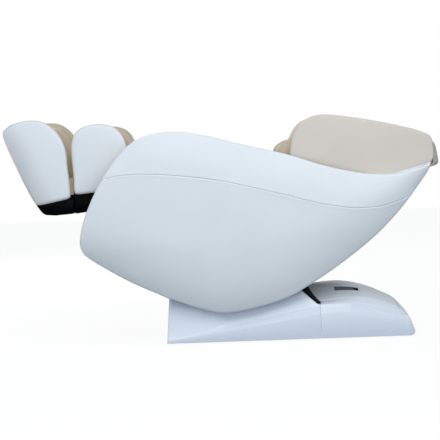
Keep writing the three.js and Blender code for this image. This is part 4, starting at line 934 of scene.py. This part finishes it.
# ---- Calf and foot side panels ----
# Boards under foam and white leather close the legrest's two sections at each side. A narrow taupe piping
# is sewn in between each panel and the padded inside.
CALF_PANEL = [
    (-622, 789), (-619, 832), (-603, 869), (-568, 893), (-510, 901), (-455, 890), (-421, 860),
    (-402, 812), (-396, 740), (-402, 668), (-420, 634), (-470, 630), (-540, 630), (-606, 626),
    (-617, 640), (-617, 690)]
FOOT_PANEL = [
    (-896, 888), (-870, 909), (-831, 921), (-790, 926), (-745, 921), (-703, 897), (-668, 852),
    (-650, 800), (-646, 740), (-641, 680), (-639, 622), (-648, 609), (-700, 598), (-766, 587),
    (-782, 598), (-812, 656), (-846, 733), (-882, 820), (-897, 868)]
PANEL_INSIDE, PANEL_OUTSIDE = 227, 242
SOLE_FOOT = (-772, 587)
SOLE_FACING = (0.908, 0.420)
for word, side_view, centre, body in (("calf", CALF_PANEL, (-510, 765), "legrest"),
                                      ("foot", FOOT_PANEL, (-755, 760), "footrest")):
    edge_line = closed_outline(side_view, 220)
    facing = unit(edge_line - np.array(centre))
    sole = np.clip(-facing[:, 0] * 1.3 - 0.2, 0, 1) * (word == "foot")
    panel = domed_pad(f"left_{word}_side", edge_line, centre, PANEL_INSIDE, PANEL_OUTSIDE, 15 + 26 * sole, 6,
                      WHITE_LEATHER)
    if word == "foot":
        points = points_of(panel)
        shift_across(panel, thinned(PANEL_INSIDE, 0.6, -785, -895))
        from_sole = (points[:, [0, 2]] - SOLE_FOOT) @ SOLE_FACING
        # Painted shade: the foot panel's leather is painted darker towards the sole edge, where the panel
        # rounds away from the light, and less so near its top.
        painted_shade_layer = panel.data.attributes.new("grime", "FLOAT", "POINT")
        low = 1 - 0.4 * eased(points[:, 2], 840, 910)
        painted_shade_layer.data.foreach_set("value", (1 - eased(from_sole, 0, 95)) * low)
    settle_pair(panel, body, "shell_leather", f"left_{word}_panel", fill=0.9)
    piping_line = at_depth(edge_line + facing * 0.6, PANEL_INSIDE + 1.6)
    piping = tube(f"left_{word}_piping", piping_line, 2.6, TAUPE_LEATHER)
    settle_pair(piping, body, "hood_leather", None)

# ---- Calf pad and foot pad ----
# Air-bag padding in beige leather: two troughs for the calves and two boot-shaped wells for the feet.
# The covers are drawn in by seams down each trough and along the crests.
LEG_SEAMS = (-112, 112, 0)
LEG_PAD_HALF = 226.4
for word, body, facing in (("calf", "legrest", (0, 0, 1)), ("foot", "footrest", (0.4, 0, 0.9))):
    pad = joined_copy(f"{word}_pad", f"{word}_padding", BEIGE_LEATHER)
    stuffed(pad, voxel=6.5, shrink=2.5, limit=5.0, smooth=5)
    shift_across(pad, lambda p: np.clip(p[:, 1], -LEG_PAD_HALF, LEG_PAD_HALF))
    sewn(pad, facing, [(lambda p, y=y: p[:, 1] - y, lambda p: p[:, 0] + p[:, 2]) for y in LEG_SEAMS],
         depth=4, width=3.5)
    settle(pad, body, "lining_leather", f"{word}_pad", fill=0.8)

# ---- Bellows ----
# A pleated sleeve of light woven cloth between the calf section and the foot section. On the chair it is
# fixed to both and bridges the gap as the foot section slides out; here it is built in place and rides on
# neither section.
BELLOWS_X = (-638.5, -622.5)
PLEATS = 4
PLEAT_DEPTH = 4.5
CLOTH = 1.2


def woven(name, colour, pitch=0.0009):
    """Plain-woven cloth: two crossed bands of yarn."""
    return painted(name, {
        "weft": ("TexWave", dict(Scale=0.5 / pitch, bands_direction="X")),
        "warp": ("TexWave", dict(Scale=0.5 / pitch, bands_direction="Y")),
        "both": ("Math", dict(operation="ADD")),
        "bump": bumps(0.5, 0.0002),
        "paint": mixed(slot_6=shaded(colour, 0.82), slot_7=colour),
    }, [
        "where.Object > weft.Vector", "where.Object > warp.Vector", "weft.Fac > both.0", "warp.Fac > both.1",
        "both.Value > bump.Height", "both.Value > paint.0", "paint.2 > shader.Base Color",
        "bump.Normal > shader.Normal"], Roughness=0.85, Sheen_Weight=0.25)


BELLOWS_CLOTH = woven("bellows_cloth", srgb(206, 192, 170))
frame_line = spaced(curve_through([(-221, 622), (-221, 650), (-220, 676), (-212, 688), (-196, 692), (0, 692),
                                   (196, 692), (212, 688), (220, 676), (221, 650), (221, 622)], 12), 130)
outward = unit(np.column_stack([-np.gradient(frame_line[:, 1]), np.gradient(frame_line[:, 0])]))
rings = []
for layer, order in ((0.0, 1), (-CLOTH, -1)):
    for x in np.linspace(*BELLOWS_X, PLEATS * 8 + 1)[::order]:
        wave = PLEAT_DEPTH * abs(((x - BELLOWS_X[0]) / (BELLOWS_X[1] - BELLOWS_X[0]) * PLEATS) % 1 * 2 - 1)
        yz = frame_line + outward * (wave - 3 + layer)
        rings.append(np.column_stack([np.full(len(yz), x), yz]))
sheet = np.array(rings)
faces = grid_faces(len(rings), len(frame_line))
count = len(frame_line)
last = len(rings) - 1
faces += [(c + 1, c, last * count + c, last * count + c + 1) for c in range(count - 1)]
for r in range(len(rings) // 2 - 1):
    for c, flip in ((0, 1), (count - 1, -1)):
        quad = [row * count + c for row in (r, r + 1, last - 1 - r, last - r)]
        faces.append(tuple(quad[::flip]))
bellows = meshed("bellows_sleeve", sheet.reshape(-1, 3), faces, BELLOWS_CLOTH, smooth=60)
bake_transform(bellows)
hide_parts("bellows")

# ---- Black undersides: legrest chassis, foot chassis, front valance, belly pan ----
# Glossy black mouldings with rounded edges. They close the legrest's two sections from below, and the pod
# in front and from below.
BODY_OF = {node: body for body, nodes in frame["record"]["behaviour"]["bodies"].items() for node in nodes}
SLOT_OF = {part["node"]: part["material_slot"] for part in frame["record"]["subparts"]}


def made_of(node, material, rounding=1.0, angle=32, segments=2):
    """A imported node's own shape with rounded edges, in its place."""
    piece = joined_copy(node, f"{node}_made", material)
    reworked(piece.data, lambda work: bmesh.ops.dissolve_limit(
        work, angle_limit=radians(0.8), verts=work.verts, edges=work.edges))
    edged(piece, rounding, angle=angle, segments=segments)
    settle(piece, BODY_OF[node], SLOT_OF[node], node)
    return piece


def moulded(name, colour, roughness, coat=0.0, texture=900.0, relief=0.00004, metallic=0.0, wear=0.0,
            reflection=0.5):
    """Moulded plastic or painted metal: a fine skin texture, faint wipe marks, paler worn edges."""
    bare = tuple(min(1.0, c * 1.5 + 0.05) for c in colour[:3]) + (1.0,)
    return painted(name, {
        "skin": noise(texture, 3.0),
        "wipes": noise(14.0, 5.0, 0.65),
        "bump": bumps(0.5, relief),
        "gloss": ("MapRange", dict(From_Min=0.35, From_Max=0.65, To_Min=roughness * 0.85,
                                   To_Max=roughness * 1.2)),
        "paint": mixed(slot_6=colour, slot_7=shaded(colour, 0.94)),
        "edge": ("NewGeometry", {}),
        "worn": ("MapRange", dict(From_Min=0.53, From_Max=0.62, To_Max=wear)),
        "rubbed": mixed(slot_7=bare),
    }, [
        "where.Object > skin.Vector", "where.Object > wipes.Vector", "skin.Fac > bump.Height",
        "bump.Normal > shader.Normal", "wipes.Fac > gloss.Value", "gloss.Result > shader.Roughness",
        "wipes.Fac > paint.0", "paint.2 > rubbed.6", "edge.Pointiness > worn.Value",
        "worn.Result > rubbed.0", "rubbed.2 > shader.Base Color"],
        Metallic=metallic, Specular_IOR_Level=reflection, Coat_Weight=coat, Coat_Roughness=0.06)


BLACK_GLOSS = moulded("black_gloss_plastic", srgb(3, 4, 7), 0.2, reflection=0.04)
for node, rounding in (("legrest_chassis", 2.5), ("foot_chassis", 2.5), ("front_valance", 1.2),
                       ("belly_pan", 1.0)):
    made_of(node, BLACK_GLOSS, rounding, segments=3)

# ---- Base covers and deck ----
# Glossy lavender-white mouldings. The front cover has a bright bevel above its crease and flanks that lean
# in to the trough, each with a small raised fold line. Behind a slanted joint, the rear cover has a crowned
# deck panel let into its top.
BASE_HALF = 288
FRONT_FACE = -262
CREASE_RUN = 625
FLANK_TOP = 230
FOLD_X = -37
COVER_WALL = 4
TROUGH_ARC = 615
BASE_WHITE = moulded("base_white_plastic", srgb(219, 226, 238), 0.22, coat=0.03, texture=60.0,
                     relief=0.000004, reflection=0.55)


def cut_with(piece, tool, operation="DIFFERENCE"):
    """Cuts a piece with a tool, or keeps what they share, and throws the tool away."""
    modified(piece, "BOOLEAN", operation=operation, solver="EXACT", object=tool)
    bake(piece)
    bpy.data.objects.remove(tool)


def prism(outline_xz, y0, y1):
    """A cutting block with an outline in the side view."""
    rings = [[(x, y, z) for x, z in outline_xz] for y in (y0, y1)]
    return lofted("cutter", rings, BASE_WHITE)


def block(x0, x1, y0, y1, z0, z1):
    return prism([(x0, z0), (x1, z0), (x1, z1), (x0, z1)], y0, y1)


def front_crease(x):
    return 17 + 89.6 * np.clip((x - FRONT_FACE) / CREASE_RUN, 0, 1) ** 1.05


def front_section(x, inset, z_bottom):
    """Half a section of the front cover: skirt, bright bevel, flank. The bevel widens at a small fold."""
    crease = front_crease(x)
    half = BASE_HALF - inset
    behind_face = x - FRONT_FACE - inset
    corner = 5 * (1 - sqrt(max(0.0, 1 - max(0.0, 1 - behind_face / 6) ** 2)))
    fold = 16 * max(0.0, 1 - abs(x - FOLD_X) / (62 if x < FOLD_X else 15))
    band = 6 + 20 * (x - FRONT_FACE) / CREASE_RUN
    lean = 0.30 + 0.15 * float(eased(x, -70, -20))
    flank_foot = half - 0.85 * band
    flank_top = flank_foot - lean * (FLANK_TOP - crease - band) - inset * 0.4
    side = [(half, z_bottom), (half, max(crease - 4, z_bottom + 0.5)),
            (half - 0.5, max(crease - 1.5, z_bottom + 1)), (half - 2, crease),
            (flank_foot + 1.5, crease + band - 2), (flank_foot, crease + band)]
    side += [(flank_foot + (flank_top - flank_foot) * t, crease + band + (FLANK_TOP - crease - band) * t)
             for t in (0.03, 0.25, 0.5, 0.75, 1.0)]
    side[6] = (side[6][0] - 0.28 * fold, crease + band + 1 + fold)
    ring = [(y - corner, z) for y, z in side] + [(corner - y, z) for y, z in side[::-1]]
    slope = 11 * max(0.0, 1 - behind_face / 60) / 175
    return [(x + slope * z, y, z) for y, z in ring]


def front_loft(inset, z_bottom, x_end):
    near = [-262, -261.7, -261, -260, -258.5, -256, -250]
    stations = [x + inset for x in near] + list(np.linspace(-240, x_end, 156))
    return lofted("front_cover_shell", [front_section(x, inset, z_bottom) for x in stations], BASE_WHITE)


WEDGE_FRONT = [(363.1, -10), (363.1, 140), (351, 143), (288, 199), (276, 300)]
WEDGE_REAR = [(363.7, -10), (363.7, 140), (367.5, 142.5), (368, 147), (362, 150), (342, 170), (320, 203),
              (310, 300)]
front_cover = front_loft(0, 5, 380)
cut_with(front_cover, front_loft(COVER_WALL, -5, 420))
turns = np.linspace(0, 2 * pi, 400, endpoint=False)
trough = [(CRADLE[0] + TROUGH_ARC * cos(t), CRADLE[1] + TROUGH_ARC * sin(t)) for t in turns]
cut_with(front_cover, prism(trough, -330, 330))
cut_with(front_cover, prism([*WEDGE_FRONT, (520, 300), (520, -10)], -340, 340))
edged(front_cover, 0.4, angle=40, smooth=24)
settle(front_cover, "base", "base_plastic", "front_base_cover")
fold_line = [front_section(x, 0, 5)[-7] for x in np.linspace(-99, -22, 78)]
fold_ridge = tube("left_fold_ridge", fold_line, 0.9, BASE_WHITE, closed=False)
settle_pair(fold_ridge, "base", "base_plastic", None)

REAR_STATIONS = [
    (300, 102, 136, 143, 186), (330, 104, 138, 145, 192), (363, 106.6, 140, 147, 198),
    (405, 109, 141, 151, 202), (455, 111.5, 141, 156, 203), (505, 112.5, 139, 160, 197),
    (550, 110, 132, 158, 185), (600, 102, 121, 146, 168), (650, 91, 106, 128, 143), (690, 87, 95, 109, 119),
    (717, 84, 84.6, 85, 85.5), (733, 50, 51, 52, 53), (744, 20, 20.5, 21, 21.5)]
TAIL_X = 640
DECK_HALF = 225
DECK_REAR = 688


def rear_loft(inset, z_bottom):
    """The rear cover's whole outside: skirt, bevel band, shoulder, and a crown that falls to the rear."""
    rings = []
    last = REAR_STATIONS[-1][0]
    for x, crease, bevel, joint, crown in curve_through(REAR_STATIONS, 6):
        tail = np.clip((x - TAIL_X) / (last - TAIL_X), 0, 1)
        narrow = 1 - 0.031 * eased(x, 717, last)
        foot = z_bottom + 17 * (1 - sqrt(1 - np.clip((x - 725) / 19.5, 0, 1) ** 2))
        half = BASE_HALF - inset
        side = [(half, foot), (half, crease - 3), (half - 0.6, crease - 1.2), (half - 3, crease + 1.2),
                (half - 23, bevel - 0.6), (half - 24.5, bevel + 0.2),
                (half - 26, bevel + 0.1 * (joint - bevel)), (half - 45, bevel + 0.6 * (joint - bevel)),
                (DECK_HALF, joint)]
        side += [(y, joint + (crown - joint) * (1 - (y / DECK_HALF) ** 2))
                 for y in (210, 190, 165, 140, 112, 84, 56, 28)]
        side = [(y, max(foot + 1, z - (inset * 1.05 if z > z_bottom else 0))) for y, z in side]
        side[0] = (half, foot)
        ring = side + [(-y, z) for y, z in side[::-1]]
        back = inset if x > TAIL_X else 0
        rings.append([(x - back + 12 * tail * (1 - (y / half) ** 2), y * narrow, z) for y, z in ring])
    return lofted("rear_cover_shell", rings, BASE_WHITE)


def deck_block(margin):
    return prism([(200, 90), (200, 320), (DECK_REAR - margin, 320), (DECK_REAR - margin, 90)],
                 margin - DECK_HALF, DECK_HALF - margin)


def behind_wedge():
    return prism([*WEDGE_REAR, (900, 300), (900, -10)], -340, 340)


rear_cover = rear_loft(0, 5)
cut_with(rear_cover, behind_wedge(), "INTERSECT")
cut_with(rear_cover, rear_loft(COVER_WALL, -8))
cut_with(rear_cover, deck_block(0))
cut_with(rear_cover, block(300, 367, -284, 284, -10, 100))
edged(rear_cover, 0.4, angle=40, smooth=24)
settle(rear_cover, "base", "base_plastic", "rear_base_cover")
deck = rear_loft(0.2, -8)
cut_with(deck, deck_block(1.6), "INTERSECT")
cut_with(deck, behind_wedge(), "INTERSECT")
cut_with(deck, rear_loft(COVER_WALL, -9))
cut_with(deck, block(432, 532, -150, -95, 120, 260))
edged(deck, 0.8, angle=40, smooth=24)
settle(deck, "base", "base_plastic", "deck_panel")

# ---- Seal, power tray, rocker and inlet ----
# A black rubber strip fills the wedge gap between the front cover and the deck. The dark tray in the
# deck's window holds the mains rocker and an inlet with three blades.
BLACK_RUBBER = moulded("black_rubber", srgb(15, 16, 18), 0.75, texture=500.0, relief=0.0001, reflection=0.2)
DARK_PLASTIC = moulded("dark_plastic", srgb(50, 62, 76), 0.35, texture=700.0, relief=0.00008)
seal = front_loft(7, 60, 400)
seal_side = [(352.5, 143.6), (366.8, 143.4), (367, 146.4), (361.5, 149), (341, 169.3), (319, 202.5),
             (312, 230), (283, 230), (289.2, 199.3)]
cut_with(seal, prism(seal_side, -330, 330), "INTERSECT")
cut_with(seal, prism([(CRADLE[0] + (x - CRADLE[0]) * 1.005, CRADLE[1] + (z - CRADLE[1]) * 1.005)
                      for x, z in trough], -330, 330))
seal.name = "wedge_seal"
edged(seal, 0.8, angle=40)
seal.data.materials.clear()
seal.data.materials.append(BLACK_RUBBER)
settle(seal, "base", SLOT_OF["deck_seal"], "deck_seal")
made_of("switch_tray", DARK_PLASTIC, 0.8)
made_of("power_rocker", BLACK_GLOSS, 0.8, segments=3)
made_of("power_inlet", BLACK_GLOSS, 0.3)

# ---- Frames, rails and drives inside ----
# Powder-coated steel frames and rails, the cut steel rack and its pinion, cast drive housings, nylon
# rollers, and the rubber feet and wheels. They show through the gaps and as the pod tilts.
FRAME_STEEL = moulded("powder_coated_steel", srgb(58, 61, 66), 0.5, texture=1400.0, relief=0.00008, wear=0.5)
CUT_STEEL = moulded("cut_steel", srgb(186, 188, 192), 0.3, texture=300.0, relief=0.00003, metallic=1.0)
CAST = moulded("cast_aluminium", srgb(154, 157, 161), 0.45, texture=450.0, relief=0.0001, metallic=1.0)
NYLON = moulded("roller_nylon", srgb(47, 50, 54), 0.4, texture=600.0, relief=0.00004)
for material, rounding, nodes in (
        (FRAME_STEEL, 0.7, "base_frame SIDE_arc_rail pod_frame massage_track"),
        (CUT_STEEL, 0.3, "sector_rack tilt_pinion"),
        (CAST, 0.9, "tilt_gear_motor legrest_motor carriage_frame SIDE_kneading_arm"),
        (DARK_PLASTIC, 1.2, "control_box air_pump"),
        (NYLON, 1.0, "SIDE_front_cradle_roller SIDE_rear_cradle_roller SIDE_lower_roller SIDE_upper_roller"),
        (BLACK_RUBBER, 0.8, "bumper_roller SIDE_transport_wheel front_SIDE_foot rear_SIDE_foot")):
    for word in nodes.split():
        for side in ("left", "right") if "SIDE" in word else [""]:
            made_of(word.replace("SIDE", side), material, rounding)
